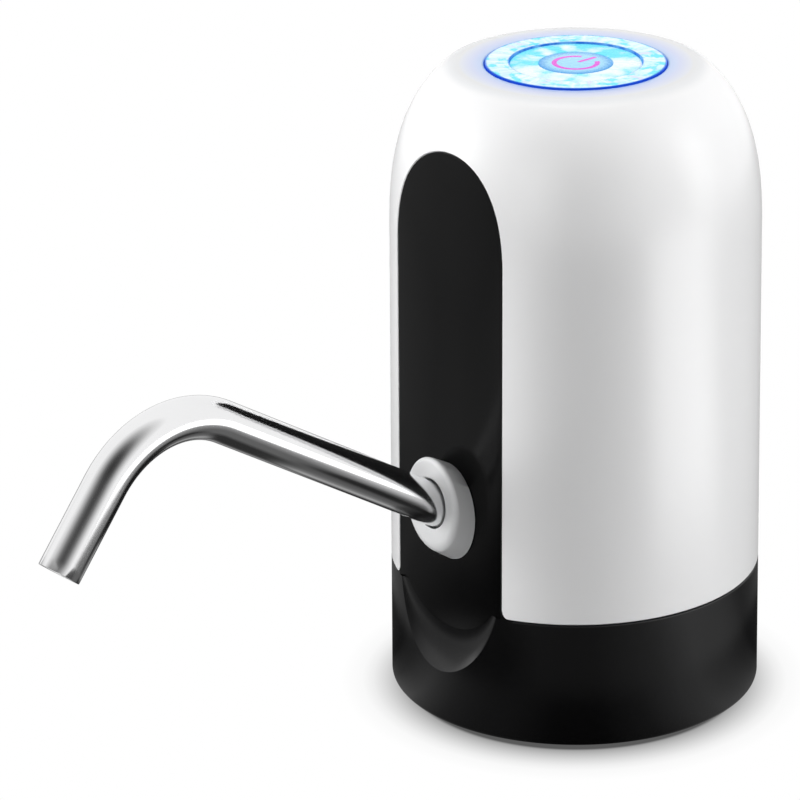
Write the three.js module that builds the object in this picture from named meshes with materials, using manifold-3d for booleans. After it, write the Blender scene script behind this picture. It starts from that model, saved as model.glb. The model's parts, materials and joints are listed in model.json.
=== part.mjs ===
// Rechargeable bottled-water pump: a domed housing that sits on a bottle's neck and pumps water up to a
// bent steel spout. Millimetres, +Z up, spout towards -Y. The origin is under the middle of the bounding
// box, on the surface that the pump stands on.
import * as THREE from "three";
import { mergeVertices } from "three/addons/utils/BufferGeometryUtils.js";
import Module from "manifold-3d";

const wasm = await Module();
wasm.setup();

// Body of revolution: a slightly drafted wall, a full dome above it and a flat disc on top
const bodyHeight = 124.5;
const shoulderRadius = 35.33;
const shoulderHeight = 90.7;
const wallSpread = 0.67;
const domeReachShare = 1.17012;
const domePowerShare = 2.731;
const topEdgeWidth = 1.73;
const topRound = 1.1;
const shellBottom = 25.2;
const shellWall = 2;
const seamGap = 0.2;

// Clearances
const slipGap = 0.15;
const seatGap = 0.3;
const cutOverrun = 4;
const weldDistance = 1e-4;

// Flat front panel, let into the housing and lapping over the base
const panelHalfWidth = 14.35;
const panelThickness = 1.5;
const panelBottom = 18.9;
const windowCornerRadius = 2;
const ledgeWidth = 3;
const ledgeThickness = 1.4;
const ledgeGrip = 2;

// Base cup that the bottle's neck goes into
const baseWall = 2.5;
const baseEdgeRound = 1;
const cupFloorBottom = 24.2;
const cupFloorThickness = 2;
const spigotHeight = 4.6;
const spigotWall = 1.8;
const spigotNotchHalfWidth = 18;
const scoopBottom = 10.4;
const scoopCurveRadius = 12.8;
const scoopSkin = 1.6;
const ribThickness = 1.6;
const ribFoot = 2;
const ribCount = 12;
const ribStartDegrees = 15;

// Soft ring of swept fins that grips the neck
const gripWall = 0.9;
const gripBottom = 2.6;
const gripTop = 21.6;
const finCount = 24;
const finLength = 2.7;
const finTipThickness = 0.8;
const finRootThickness = 1.3;
const finSweepDegrees = 8;

// Three screws that clamp the base, the chassis and the housing together
const baseScrewGap = 0.36;
const baseScrewHeadRadius = 2.5;
const baseScrewHeadHeight = 1.7;
const baseScrewShankRadius = 1.25;
const baseScrewLength = 15;
const baseScrewCount = 3;
const baseScrewStartDegrees = 0;
const bossRadius = 3.3;
const bossHeight = 14;
const bossWeb = 2;

// Chassis: floor plate, battery trough and motor ring
const plateThickness = 1.8;
const plateGap = 0.2;
const troughWall = 1.4;
const cellBare = 11;
const troughOpenDegrees = 150;
const motorRingHeight = 8;
const motorRingBottom = 64;
const motorRingWall = 1.6;
const motorPostThickness = 2.2;
const motorPostWidth = 6;
const railHeight = 30;
const railWidth = 3.2;
const railDepth = 4.6;

// Cylindrical cell
const cellHeadroom = 18.2;
const cellRimGap = 0.37;
const cellTurnDegrees = 43.63;
const troughGap = 0.224;
const cellCapRadius = 3.6;
const cellCapHeight = 0.9;
const cellEdgeRound = 0.9;
const tabThickness = 0.4;
const tabWidth = 6;

// Diaphragm pump, from its ports up to the motor
const pumpY = -2;
const pumpRadius = 12.5;
const pumpWall = 1.6;
const coverHeight = 8;
const valvePlateThickness = 2;
const valveHoleRadius = 1.1;
const valveCircle = 6.4;
const diaphragmThickness = 1.2;
const diaphragmCupRadius = 3.3;
const diaphragmCupHeight = 3.2;
const cupShoulderRadiusShare = 0.8;
const cupShoulderHeightShare = 0.6;
const cupCrownRadiusShare = 0.4;
const cupHollowRadiusShare = 0.6;
const cupHollowHeightShare = 0.4;
const chamberCount = 3;
const chamberStartDegrees = 90;
const crankcaseHeight = 15.5;
const layerGap = 0.2;
const inletLength = 12;
const inletRadius = 3.9;
const inletBore = 2.5;
const barbStep = 0.5;
const barbPitch = 3;
const barbCount = 2;
const portRadius = 2.3;
const portBore = 1.3;
const portLength = 5.6;
const portHeight = 4.2;
const wobbleRadius = 8;
const wobbleThickness = 2;
const wobbleHubRadius = 4.8;
const wobbleHubHeight = 2.6;
const crankRadius = 6;
const crankHeight = 4.4;
const crankPinOffset = 2.2;
const crankPinRadius = 0.9;
const crankPinLength = 2.3;
const crankBoreDepth = 2.9;
const shaftBossRadius = 3;
const pumpScrewCircle = 10.2;
const pumpScrewHeadRadius = 1.5;
const pumpScrewHeadHeight = 1.1;
const pumpScrewShankRadius = 0.8;
const pumpScrewCount = 4;
const pumpScrewStartDegrees = 45;
const pumpScrewSink = 2.2;
const pumpEarRadius = 2.2;

// Motor
const motorRadius = 12.1;
const motorLength = 29;
const motorWall = 1;
const motorEndHeight = 3;
const motorEndRimHeight = 2.1;
const motorEndBevel = 1.5;
const shaftTipShare = 0.8;
const shaftRadius = 1;
const shaftHoleRadius = 1.25;
const armatureRadius = 7.6;
const armatureLength = 13;
const armaturePoles = 3;
const poleShoeShare = 0.36;
const armatureCoreRadius = 3;
const armatureNeck = 2.6;
const poleShoe = 1.6;
const magnetThickness = 2.6;
const magnetLength = 18;
const magnetSpanDegrees = 110;
const terminalWidth = 3;
const terminalHeight = 4.5;
const terminalThickness = 0.5;
const terminalSpacing = 12;

// Charging board, its socket and its indicator
const boardThickness = 1.6;
const railBossGap = 0.46;
const chargeBoardHeight = 20;
const chargeBoardSetback = 9.82;
const socketHeightAboveFloor = 51;
const socketWidth = 7.6;
const socketHeight = 2.8;
const socketMouthDepth = 1;
const socketShell = 0.35;
const socketTongue = 0.8;
const socketRecess = 0.8;
const socketRecessRim = 2;
const indicatorRadius = 1.2;
const indicatorRise = 6;

// Top: light ring, push button and the board under them
const discWidth = 5.1;
const ringWidth = 4.6;
const ringHeight = 4.2;
const ringRise = 0.3;
const ringFlange = 1.8;
const ringFlangeThickness = 1;
const ringLip = 0.8;
const ringLipHeight = 1;
const buttonGap = 0.2;
const buttonTravel = 0.6;
const buttonThickness = 1.8;
const skirtWall = 1.1;
const skirtDrop = 6.2;
const hookHeight = 0.9;
const lensInset = 5.5;
const lensThickness = 0.8;
const stemRadius = 2;
const boardRim = 2.6;
const boardDrop = 10.5;
const postRadius = 2.4;
const postInset = 0.9;
const postCount = 3;
const postStartDegrees = 30;
const boardScrewHeadRadius = 1.9;
const boardScrewHeadHeight = 1.3;
const boardScrewShankRadius = 0.8;
const boardScrewLength = 7;
const ledCount = 6;
const ledInset = 2.4;
const ledWidth = 3.5;
const ledDepth = 2.8;
const ledHeight = 1.4;
const switchSide = 6;
const switchHeight = 3.6;
const plungerRadius = 1.7;
const plungerHeight = 1.3;
const springRadius = 5.7;
const springWire = 0.6;
const springTurns = 4;

// Outlet: slanted seat on the panel, turning sleeve, elbow behind the panel and bent spout
const outletHeight = 42.9;
const spoutRiseDegrees = 31.4;
const spoutTurnDegrees = 83;
const spoutBendRadius = 20.5;
const spoutFirstLeg = 81.5;
const spoutSecondLeg = 35.6;
const spoutRadius = 4;
const spoutWall = 0.5;
const spoutDepth = 8.5;
const seatHalfWidth = 7.4;
const seatHalfLength = 9.75;
const seatHeight = 5;
const seatTaper = 0.2;
const seatRound = 1.2;
const seatLip = 0.8;
const seatScrewAcross = 4.7;
const seatScrewRise = 5.6;
const seatScrewDepth = 2.4;
const seatScrewHeadRadius = 1.2;
const seatScrewHeadHeight = 1;
const seatScrewShankRadius = 0.6;
const sleeveRadius = 4.7;
const sleeveTail = 9;
const sleeveFlangeRadius = 5.5;
const sleeveFlangeThickness = 1.2;
const sleeveFlangeDepth = 5.5;
const elbowWall = 1.2;
const elbowFlangeRoom = 1.75;
const elbowFlangeThickness = 1.6;
const elbowChamber = 2.8;
const elbowChamberRadius = 3.2;
const elbowBarbLength = 6;
const ringSectionRadius = 0.42;

// Hose from the pump to the elbow
const hoseRadius = 3.4;
const hoseBore = 2.65;
const hoseWallGap = 3.2;
const hoseOverlap = 4.2;
const hoseStraightShare = 0.125;

// Facets
const roundSides = 48;
const capSides = 30;
const partSides = 20;
const smallSides = 8;
const domeSteps = 7;
const archSteps = 12;
const bendSteps = 10;
const tubeSides = 16;
const sleeveSides = 20;
const hoseSides = 8;
const wireSides = 5;
const screwSides = 6;
const cornerSteps = 4;
const edgeSteps = 3;
const scoopSteps = 6;
const searchSteps = 40;

// Sizes that follow
const ceiling = bodyHeight - shellWall;
const floorRadius = shoulderRadius + wallSpread;
const wallDraft = wallSpread / shoulderHeight;
const facetFloorDistance = Math.sqrt(floorRadius ** 2 - panelHalfWidth ** 2);
const facetShoulderDistance = Math.sqrt(shoulderRadius ** 2 - panelHalfWidth ** 2);
const facetLean = Math.atan2(facetFloorDistance - facetShoulderDistance, shoulderHeight);
const panelPocket = panelThickness + slipGap;
const ledgeBack = panelPocket + ledgeThickness;
const domeReach = (bodyHeight - shoulderHeight) * domeReachShare;
const topDiscRadius = wallRadius(bodyHeight) - topEdgeWidth;
const ringOuterRadius = topDiscRadius - discWidth;
const ringInnerRadius = ringOuterRadius - ringWidth;
const ringTop = bodyHeight + ringRise;
const spigotRadius = wallRadius(shellBottom, shellWall + slipGap);
const spigotInner = spigotRadius - spigotWall;
const plateRadius = Math.min(spigotInner, facetDistance(shellBottom) - panelPocket) - slipGap;
const baseScrewCircle = spigotInner - bossRadius - baseScrewGap;
const gripOuterRadius = facetDistance(gripTop) - ledgeBack - seatGap;
const finTipRadius = gripOuterRadius - gripWall - finLength;
const ledgeBottom = shellBottom + windowCornerRadius + seatGap;
const cupFloorTop = cupFloorBottom + cupFloorThickness;
const plateBottom = cupFloorTop + plateGap;
const plateTop = plateBottom + plateThickness;
const bossBottom = plateTop + plateGap;
const pilotRadius = baseScrewShankRadius + slipGap;
const coverBottom = plateTop + layerGap;
const valveBottom = coverBottom + coverHeight + layerGap;
const diaphragmBottom = valveBottom + valvePlateThickness + layerGap;
const crankcaseBottom = diaphragmBottom + diaphragmThickness + layerGap;
const crankcaseTop = crankcaseBottom + crankcaseHeight;
const motorBottom = crankcaseTop + layerGap;
const motorTop = motorBottom + motorLength;
const lidBottom = crankcaseTop - pumpWall;
const crankcaseEarTop = crankcaseBottom + crankcaseHeight / 2;
const wobbleBottom = crankcaseBottom + diaphragmCupHeight + layerGap;
const wobbleHubTop = wobbleBottom + wobbleThickness + wobbleHubHeight;
const crankBottom = wobbleHubTop + seatGap;
const pumpScrewBottom = coverBottom + pumpScrewSink;
const outletRise = THREE.MathUtils.degToRad(spoutRiseDegrees) - facetLean;
const outletCos = Math.cos(outletRise);
const sleeveBoreRadius = sleeveRadius + slipGap;
const seatBoreEnd = (seatHeight - seatLip - sleeveBoreRadius * Math.sin(outletRise)) / outletCos;
const sleeveFront = seatBoreEnd - seatGap;
const elbowBoreEnd = sleeveTail + seatGap;
const elbowEnd = elbowBoreEnd + elbowChamber + elbowWall;
const elbowRadius = sleeveFlangeRadius + seatGap + elbowWall;
const elbowFlangeRadius = panelHalfWidth - ledgeWidth - elbowFlangeRoom;
const passageRadius = sleeveFlangeRadius + slipGap;
const boardTop = bodyHeight - boardDrop;
const boardBottom = boardTop - boardThickness;
const postCircle = topDiscRadius - postInset;
const boardRadius = postCircle + boardRim;
const ledCircle = ringOuterRadius - ledInset;
const buttonRadius = ringInnerRadius - buttonGap;
const lensRadius = buttonRadius - lensInset;
const buttonUnderside = bodyHeight - buttonThickness;
const plungerTop = boardTop + switchHeight + plungerHeight;
const cellBottom = plateTop + tabThickness + 2 * seatGap;
const cellTop = boardBottom - cellHeadroom;
const troughHeight = cellTop - cellBottom - cellBare;
const cellTurn = THREE.MathUtils.degToRad(cellTurnDegrees);
const cellRadius = cellRoom();
const cellDistance = pumpRadius + troughGap + troughWall + seatGap + cellRadius;
const cellX = cellDistance * Math.cos(cellTurn);
const cellY = pumpY + cellDistance * Math.sin(cellTurn);
const rearBossAcross = baseScrewCircle * Math.cos(Math.PI / baseScrewCount);
const railOuter = rearBossAcross - bossRadius - railBossGap;
const chargeBoardWidth = 2 * (railOuter - (railWidth * 3) / 4);
const chargeBoardY = wallRadius(socketHeightAboveFloor) - chargeBoardSetback;
const hoseBulge =
  wallRadius(outletHeight, shellWall) - hoseWallGap - hoseRadius - pumpRadius - portLength;
const socketFront = wallRadius(socketHeightAboveFloor, socketMouthDepth);

// Outer radius of the body at a height, drawn in by an inset
function wallRadius(height, inset = 0) {
  if (height <= shoulderHeight) return floorRadius - height * wallDraft - inset;
  const rise = (height - shoulderHeight) / (domeReach - inset);
  return (shoulderRadius - inset) * (1 - rise ** domePowerShare) ** (1 / domePowerShare);
}

// Radius of the largest cell that fits between the pump and the spigot's rim, or the dome above it
function cellRoom() {
  const spigotReach = spigotInner - cellRimGap;
  const domeReachAtTop = wallRadius(cellTop + cellCapHeight, shellWall) - 4 * cellRimGap;
  const reach = Math.min(spigotReach, domeReachAtTop);
  const start = pumpRadius + troughGap + troughWall + seatGap;
  const lean = pumpY * Math.sin(cellTurn);
  return (reach ** 2 - pumpY ** 2 - 2 * start * lean - start ** 2) / (2 * (lean + start + reach));
}

// Distance of the front facet from the body's axis at a height
function facetDistance(height) {
  return facetFloorDistance - height * Math.tan(facetLean);
}

// Points of the dome from the shoulder up to a height, drawn in by an inset
function domeCurve(topHeight, inset, steps = domeSteps) {
  const reach = domeReach - inset;
  const end = Math.asin(((topHeight - shoulderHeight) / reach) ** (domePowerShare / 2));
  const points = [];
  for (let i = 0; i <= steps; i++) {
    const angle = (end * i) / steps;
    const radius = (shoulderRadius - inset) * Math.cos(angle) ** (2 / domePowerShare);
    const height = shoulderHeight + reach * Math.sin(angle) ** (2 / domePowerShare);
    points.push([radius, height]);
  }
  return points;
}

// Rounded edge where the dome meets the flat top disc
function topEdge() {
  const start = bodyHeight - topRound;
  const curve = new THREE.QuadraticBezierCurve(
    new THREE.Vector2(wallRadius(start), start),
    new THREE.Vector2(wallRadius(bodyHeight), bodyHeight),
    new THREE.Vector2(topDiscRadius, bodyHeight),
  );
  return curve.getPoints(edgeSteps).slice(1).map((point) => [point.x, point.y]);
}

// Geometry helpers: a closed [radius, height] profile turned about Z, anticlockwise
function turned(profile, sides = partSides) {
  const points = profile.map(([radius, height]) => new THREE.Vector2(Math.max(radius, 0), height));
  const first = points[0];
  const last = points[points.length - 1];
  if (first.x > 0 || last.x > 0) points.push(first.clone());
  return new THREE.LatheGeometry(points, sides).rotateX(Math.PI / 2);
}

function rod(radius, low, high, sides = smallSides) {
  const bar = new THREE.CylinderGeometry(radius, radius, high - low, sides);
  return bar.rotateX(Math.PI / 2).translate(0, 0, (low + high) / 2);
}

function pipe(outer, inner, low, high, sides = smallSides) {
  return turned([[outer, low], [outer, high], [inner, high], [inner, low]], sides);
}

function block(low, high) {
  const box = new THREE.BoxGeometry(high[0] - low[0], high[1] - low[1], high[2] - low[2]);
  return box.translate((low[0] + high[0]) / 2, (low[1] + high[1]) / 2, (low[2] + high[2]) / 2);
}

function extruded(points, depth, holes = []) {
  const shape = new THREE.Shape(points);
  shape.holes = holes.map((hole) => new THREE.Path(hole));
  return new THREE.ExtrudeGeometry(shape, { depth, bevelEnabled: false });
}

function arcPoints(radius, from, to, steps, x = 0, y = 0) {
  const points = [];
  for (let i = 0; i <= steps; i++) {
    const angle = from + ((to - from) * i) / steps;
    points.push(new THREE.Vector2(x + radius * Math.cos(angle), y + radius * Math.sin(angle)));
  }
  return points;
}

function polarPoint(radius, angle) {
  return new THREE.Vector2(radius * Math.cos(angle), radius * Math.sin(angle));
}

function circlePoints(radius, sides, x = 0, y = 0) {
  return arcPoints(radius, 0, 2 * Math.PI, sides, x, y).slice(0, sides);
}

function roundedRectangle(width, height, radius, steps = edgeSteps) {
  const x = width / 2 - radius;
  const y = height / 2 - radius;
  const quarter = Math.PI / 2;
  return [
    ...arcPoints(radius, 0, quarter, steps, x, y),
    ...arcPoints(radius, quarter, 2 * quarter, steps, -x, y),
    ...arcPoints(radius, 2 * quarter, 3 * quarter, steps, -x, -y),
    ...arcPoints(radius, 3 * quarter, 4 * quarter, steps, x, -y),
  ];
}

// Closed body through rings of equally many points, each ring a convex loop
function lofted(rings) {
  const count = rings[0].length;
  const positions = rings.flat().flatMap((point) => [point.x, point.y, point.z]);
  const faces = [];
  for (let ring = 0; ring + 1 < rings.length; ring++) {
    for (let i = 0; i < count; i++) {
      const next = (i + 1) % count;
      const a = ring * count + i;
      const b = ring * count + next;
      faces.push(a, b, b + count, a, b + count, a + count);
    }
  }
  const last = (rings.length - 1) * count;
  for (let i = 1; i + 1 < count; i++) {
    faces.push(0, i + 1, i, last, last + i, last + i + 1);
  }
  const geometry = new THREE.BufferGeometry();
  geometry.setAttribute("position", new THREE.Float32BufferAttribute(positions, 3));
  geometry.setIndex(faces);
  return geometry;
}

// Solids for joining and cutting
function solidOf(geometry) {
  const bare = geometry.clone();
  bare.deleteAttribute("normal");
  bare.deleteAttribute("uv");
  const merged = mergeVertices(bare, weldDistance);
  const corners = merged.index.array;
  const kept = [];
  for (let i = 0; i < corners.length; i += 3) {
    const [a, b, c] = [corners[i], corners[i + 1], corners[i + 2]];
    if (a !== b && b !== c && c !== a) kept.push(a, b, c);
  }
  const vertProperties = merged.attributes.position.array;
  return new wasm.Manifold(
    new wasm.Mesh({ numProp: 3, vertProperties, triVerts: new Uint32Array(kept) }),
  );
}

function geometryOf(solid) {
  const mesh = solid.getMesh();
  const geometry = new THREE.BufferGeometry();
  geometry.setAttribute("position", new THREE.BufferAttribute(mesh.vertProperties, 3));
  geometry.setIndex(new THREE.BufferAttribute(mesh.triVerts, 1));
  geometry.computeVertexNormals();
  return geometry;
}

function joined(...geometries) {
  return geometries.map(solidOf).reduce((whole, part) => whole.add(part));
}

function cut(solid, ...geometries) {
  return geometries.reduce((whole, part) => whole.subtract(solidOf(part)), solid);
}

function copiesAround(count, startDegrees, make) {
  const copies = [];
  for (let i = 0; i < count; i++) {
    const angle = THREE.MathUtils.degToRad(startDegrees) + (2 * Math.PI * i) / count;
    copies.push(make(i, angle));
  }
  return copies;
}

function onCircle(geometry, radius, angle) {
  return geometry.translate(radius * Math.cos(angle), radius * Math.sin(angle), 0);
}

// Finishes
function finish(colour, roughness, metalness = 0) {
  return () => new THREE.MeshStandardMaterial({ color: colour, roughness, metalness });
}

const glossWhite = finish(0xf2f2f4, 0.18);
const glossBlack = finish(0x121315, 0.2);
const blackPlastic = finish(0x1b1c1f, 0.42);
const greyPlastic = finish(0xb9bcc0, 0.5);
const paleGrey = finish(0xdadbdd, 0.45);
const naturalPlastic = finish(0xe6e3da, 0.55);
const clearPlastic = finish(0x9feaf6, 0.25);
const frostedPlastic = finish(0xdff6fb, 0.35);
const lensBlue = finish(0x9fd4f8, 0.3);
const blackRubber = finish(0x202123, 0.8);
const siliconeRubber = finish(0xdfe5e6, 0.5);
const polishedSteel = finish(0xc9cbce, 0.12, 1);
const platedSteel = finish(0xaeb1b5, 0.35, 1);
const brassMetal = finish(0xc8a04c, 0.35, 1);
const magnetDark = finish(0x3a3c40, 0.6, 0.3);
const boardGreen = finish(0x1d6b3a, 0.5);
const cellBlue = finish(0x2a6fb0, 0.4);
const ledWhite = finish(0xf4f1df, 0.4);

function piece(name, geometry, material) {
  const mesh = new THREE.Mesh(geometry, material());
  mesh.name = name;
  return mesh;
}

// Frame of the front facet: X across, Y up along it, Z out of it
const facetFrame = new THREE.Matrix4()
  .makeRotationX(Math.PI / 2 - facetLean)
  .setPosition(0, -facetFloorDistance, 0);

function inFacet(geometry) {
  return geometry.applyMatrix4(facetFrame);
}

// Height where the dome passes through the facet, a distance from the middle
function archHeight(across) {
  let low = shoulderHeight;
  let high = bodyHeight;
  for (let i = 0; i < searchSteps; i++) {
    const middle = (low + high) / 2;
    const reach = Math.hypot(across, facetDistance(middle));
    if (wallRadius(middle) > reach) low = middle;
    else high = middle;
  }
  return low / Math.cos(facetLean);
}

// The arch at the top of the panel, from its right side to its left
function archPoints(inset) {
  const points = [];
  for (let i = 0; i <= archSteps; i++) {
    const angle = (Math.PI * i) / archSteps;
    const height = archHeight(Math.abs(panelHalfWidth * Math.cos(angle)));
    const x = (panelHalfWidth - inset) * Math.cos(angle);
    points.push(new THREE.Vector2(x, height - inset * Math.sin(angle)));
  }
  return points;
}

// Panel outline with its rounded tongue; the inset shrinks it all round
function panelOutline(inset) {
  const halfWidth = panelHalfWidth - inset;
  const centre = panelBottom + panelHalfWidth;
  const shoulder = shellBottom + inset;
  const start = -Math.acos(0) + Math.acos((centre - shoulder) / halfWidth);
  return [
    ...archPoints(inset),
    new THREE.Vector2(-halfWidth, shoulder),
    ...arcPoints(halfWidth, -Math.PI - start, start, archSteps, 0, centre),
    new THREE.Vector2(halfWidth, shoulder),
  ];
}

// Window through the housing wall, flared with round corners at its foot
function windowOutline() {
  const foot = panelHalfWidth + windowCornerRadius;
  const rise = shellBottom + windowCornerRadius;
  const below = shellBottom - cutOverrun;
  const quarter = Math.PI / 2;
  return [
    ...archPoints(0),
    ...arcPoints(windowCornerRadius, 0, -quarter, cornerSteps, -foot, rise),
    new THREE.Vector2(-foot, below),
    new THREE.Vector2(foot, below),
    ...arcPoints(windowCornerRadius, -quarter, -2 * quarter, cornerSteps, foot, rise),
  ];
}

// Inner or ledge outline: the arch and straight sides only
function straightOutline(inset, bottom) {
  const halfWidth = panelHalfWidth - inset;
  return [
    ...archPoints(inset),
    new THREE.Vector2(-halfWidth, bottom),
    new THREE.Vector2(halfWidth, bottom),
  ];
}

function bodyProfile(bottom, inset) {
  const top = bodyHeight - inset;
  return [[0, bottom], [wallRadius(bottom, inset), bottom], ...domeCurve(top, inset), [0, top]];
}

// Outer shell
function shellProfile() {
  const crest = bodyHeight - topRound;
  return [
    [wallRadius(shellBottom), shellBottom],
    ...domeCurve(crest, 0),
    ...topEdge(),
    [ringOuterRadius, bodyHeight],
    [ringOuterRadius, ceiling],
    ...domeCurve(ceiling, shellWall, domeSteps - 3).reverse(),
    [wallRadius(shellBottom, shellWall), shellBottom],
  ];
}

function screwBoss(angle) {
  const column = rod(bossRadius, bossBottom, bossBottom + bossHeight, smallSides);
  column.translate(baseScrewCircle, 0, 0);
  const web = block(
    [baseScrewCircle, -bossWeb / 2, shellBottom + spigotHeight + seatGap],
    [wallRadius(bossBottom + bossHeight, shellWall / 2), bossWeb / 2, bossBottom + bossHeight],
  );
  return joined(column, web).transform(turnMatrix(angle));
}

function turnMatrix(angle) {
  return new THREE.Matrix4().makeRotationZ(angle).toArray();
}

function boardPost(angle) {
  const post = rod(postRadius, boardTop + seatGap, ceiling + shellWall / 2, smallSides);
  return solidOf(onCircle(post, postCircle, angle));
}

function rearCut(outline, from, height) {
  const depth = floorRadius + cutOverrun - from;
  const cutter = extruded(outline, depth);
  return cutter.rotateX(-Math.PI / 2).translate(0, from, height);
}

function outerShell() {
  let shell = solidOf(turned(shellProfile(), roundSides));
  const body = solidOf(turned(bodyProfile(shellBottom, shellWall / 2), roundSides));
  const ledge = inFacet(
    extruded(straightOutline(-ledgeGrip, ledgeBottom), ledgeThickness).translate(0, 0, -ledgeBack),
  );
  shell = shell.add(solidOf(ledge).intersect(body));
  for (const boss of copiesAround(baseScrewCount, baseScrewStartDegrees, (i, a) => screwBoss(a))) {
    shell = shell.add(boss);
  }
  for (const post of copiesAround(postCount, postStartDegrees, (i, a) => boardPost(a))) {
    shell = shell.add(post);
  }
  const pilots = copiesAround(baseScrewCount, baseScrewStartDegrees, (i, angle) =>
    onCircle(
      rod(pilotRadius, bossBottom - cutOverrun, bossBottom + bossHeight - shellWall, smallSides),
      baseScrewCircle,
      angle,
    ),
  );
  const boardPilots = copiesAround(postCount, postStartDegrees, (i, angle) =>
    onCircle(
      rod(boardScrewShankRadius + slipGap, boardTop, ceiling - shellWall / 2, smallSides),
      postCircle,
      angle,
    ),
  );
  const pocketDepth = panelHalfWidth;
  const windowCut = inFacet(extruded(windowOutline(), pocketDepth).translate(0, 0, -panelPocket));
  const throughCut = inFacet(
    extruded(straightOutline(ledgeWidth, shellBottom - cutOverrun), pocketDepth).translate(
      0,
      0,
      -panelHalfWidth,
    ),
  );
  const mouth = roundedRectangle(
    socketWidth + 2 * slipGap,
    socketHeight + 2 * slipGap,
    socketHeight / 2,
  );
  const recess = roundedRectangle(
    socketWidth + 2 * socketRecessRim,
    socketHeight + 2 * socketRecessRim,
    socketHeight / 2 + socketRecessRim,
  );
  const indicatorHole = circlePoints(indicatorRadius + slipGap, smallSides);
  const recessFloor = wallRadius(socketHeightAboveFloor, socketRecess);
  return geometryOf(
    cut(
      shell,
      windowCut,
      throughCut,
      ...pilots,
      ...boardPilots,
      rearCut(mouth, chargeBoardY, socketHeightAboveFloor),
      rearCut(recess, recessFloor, socketHeightAboveFloor),
      rearCut(indicatorHole, chargeBoardY, socketHeightAboveFloor + indicatorRise),
    ),
  );
}

// Frame of the outlet: Z along the spout's first leg, in the facet's frame
const outletFrame = new THREE.Matrix4().makeRotationX(-outletRise).setPosition(0, outletHeight, 0);

function inOutlet(geometry) {
  return geometry.applyMatrix4(outletFrame);
}

function seatScrewHoles(radius, from, to) {
  return [-1, 1].map((side) =>
    rod(radius, from, to).translate(side * seatScrewAcross, outletHeight + seatScrewRise, 0),
  );
}

// Front panel
function frontPanel() {
  const plate = extruded(panelOutline(slipGap), panelThickness).translate(0, 0, -panelThickness);
  const passage = inOutlet(rod(passageRadius, -elbowEnd, elbowEnd, tubeSides));
  const holes = seatScrewHoles(seatScrewShankRadius + slipGap, -cutOverrun, cutOverrun);
  return geometryOf(cut(solidOf(plate), passage, ...holes));
}

// Scoop under the panel: outlines that grow outwards along a circular arc
function scoopRing(halfWidth, bottom, out) {
  const top = shellBottom + cutOverrun;
  const centre = bottom + halfWidth;
  const lowEdge = Math.asin(THREE.MathUtils.clamp((top - centre) / halfWidth, -1, 1));
  const points = [];
  const arc = Math.max(centre, top) === top ? 0 : lowEdge;
  const side = arcPoints(halfWidth, -Math.PI - arc, arc, 2 * archSteps, 0, centre);
  for (const point of side) points.push(new THREE.Vector3(point.x, point.y, out));
  points.push(new THREE.Vector3(side[side.length - 1].x, top + cutOverrun, out));
  points.push(new THREE.Vector3(side[0].x, top + cutOverrun, out));
  return points;
}

function scoopCutter() {
  const rings = [];
  const depth = floorRadius - facetDistance(scoopBottom);
  const end = Math.acos(1 - depth / scoopCurveRadius);
  for (let i = 0; i <= scoopSteps; i++) {
    const angle = (end * i) / scoopSteps;
    const out = scoopCurveRadius * (1 - Math.cos(angle));
    rings.push(scoopRing(panelHalfWidth, panelBottom - scoopCurveRadius * Math.sin(angle), out));
  }
  const last = panelBottom - scoopCurveRadius * Math.sin(end);
  rings.push(scoopRing(panelHalfWidth, last - cutOverrun / 2, scoopCurveRadius));
  return inFacet(lofted(rings));
}

// Thicker wall behind the scoop and the panel's tongue
function scoopBacking() {
  const halfWidth = panelHalfWidth + scoopSkin;
  const rings = [];
  const curve = scoopCurveRadius + scoopSkin;
  const start = Math.acos(Math.min(1, (scoopCurveRadius + panelPocket) / curve));
  const foot = panelBottom - curve * Math.sin(start);
  rings.push(scoopRing(halfWidth, Math.min(foot, panelBottom - scoopSkin), -ledgeBack));
  const end = Math.acos(scoopCurveRadius / curve / Math.SQRT2);
  for (let i = 0; i <= scoopSteps; i++) {
    const angle = start + ((end - start) * i) / scoopSteps;
    const out = scoopCurveRadius - curve * Math.cos(angle);
    const low = Math.min(panelBottom - curve * Math.sin(angle), panelBottom - scoopSkin);
    rings.push(scoopRing(halfWidth, low, out));
  }
  rings.push(scoopRing(halfWidth, panelBottom - curve * Math.sin(end), panelThickness * 2));
  return inFacet(lofted(rings));
}

// Base cup
function baseProfile() {
  const inner = (height) => wallRadius(height, baseWall);
  const shoulder = shellBottom - seamGap;
  const spigotTop = shoulder + spigotHeight;
  const edge = arcPoints(
    baseEdgeRound,
    -Math.PI / 2,
    0,
    edgeSteps,
    wallRadius(baseEdgeRound) - baseEdgeRound,
    baseEdgeRound,
  ).map((point) => [point.x, point.y]);
  return [
    [inner(0), 0],
    ...edge,
    [wallRadius(shoulder), shoulder],
    [spigotRadius, shoulder],
    [spigotRadius, spigotTop],
    [spigotRadius - spigotWall, spigotTop],
    [spigotRadius - spigotWall, cupFloorTop],
    [0, cupFloorTop],
    [0, cupFloorBottom],
    [inner(cupFloorBottom), cupFloorBottom],
  ];
}

function gripRib(angle) {
  const rib = block(
    [gripOuterRadius + seatGap, -ribThickness / 2, ribFoot],
    [wallRadius(cupFloorBottom, baseWall / 2), ribThickness / 2, cupFloorBottom + slipGap],
  );
  return solidOf(rib).transform(turnMatrix(angle));
}

function ribAt(i, angle) {
  return { angle, solid: gripRib(angle) };
}

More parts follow.
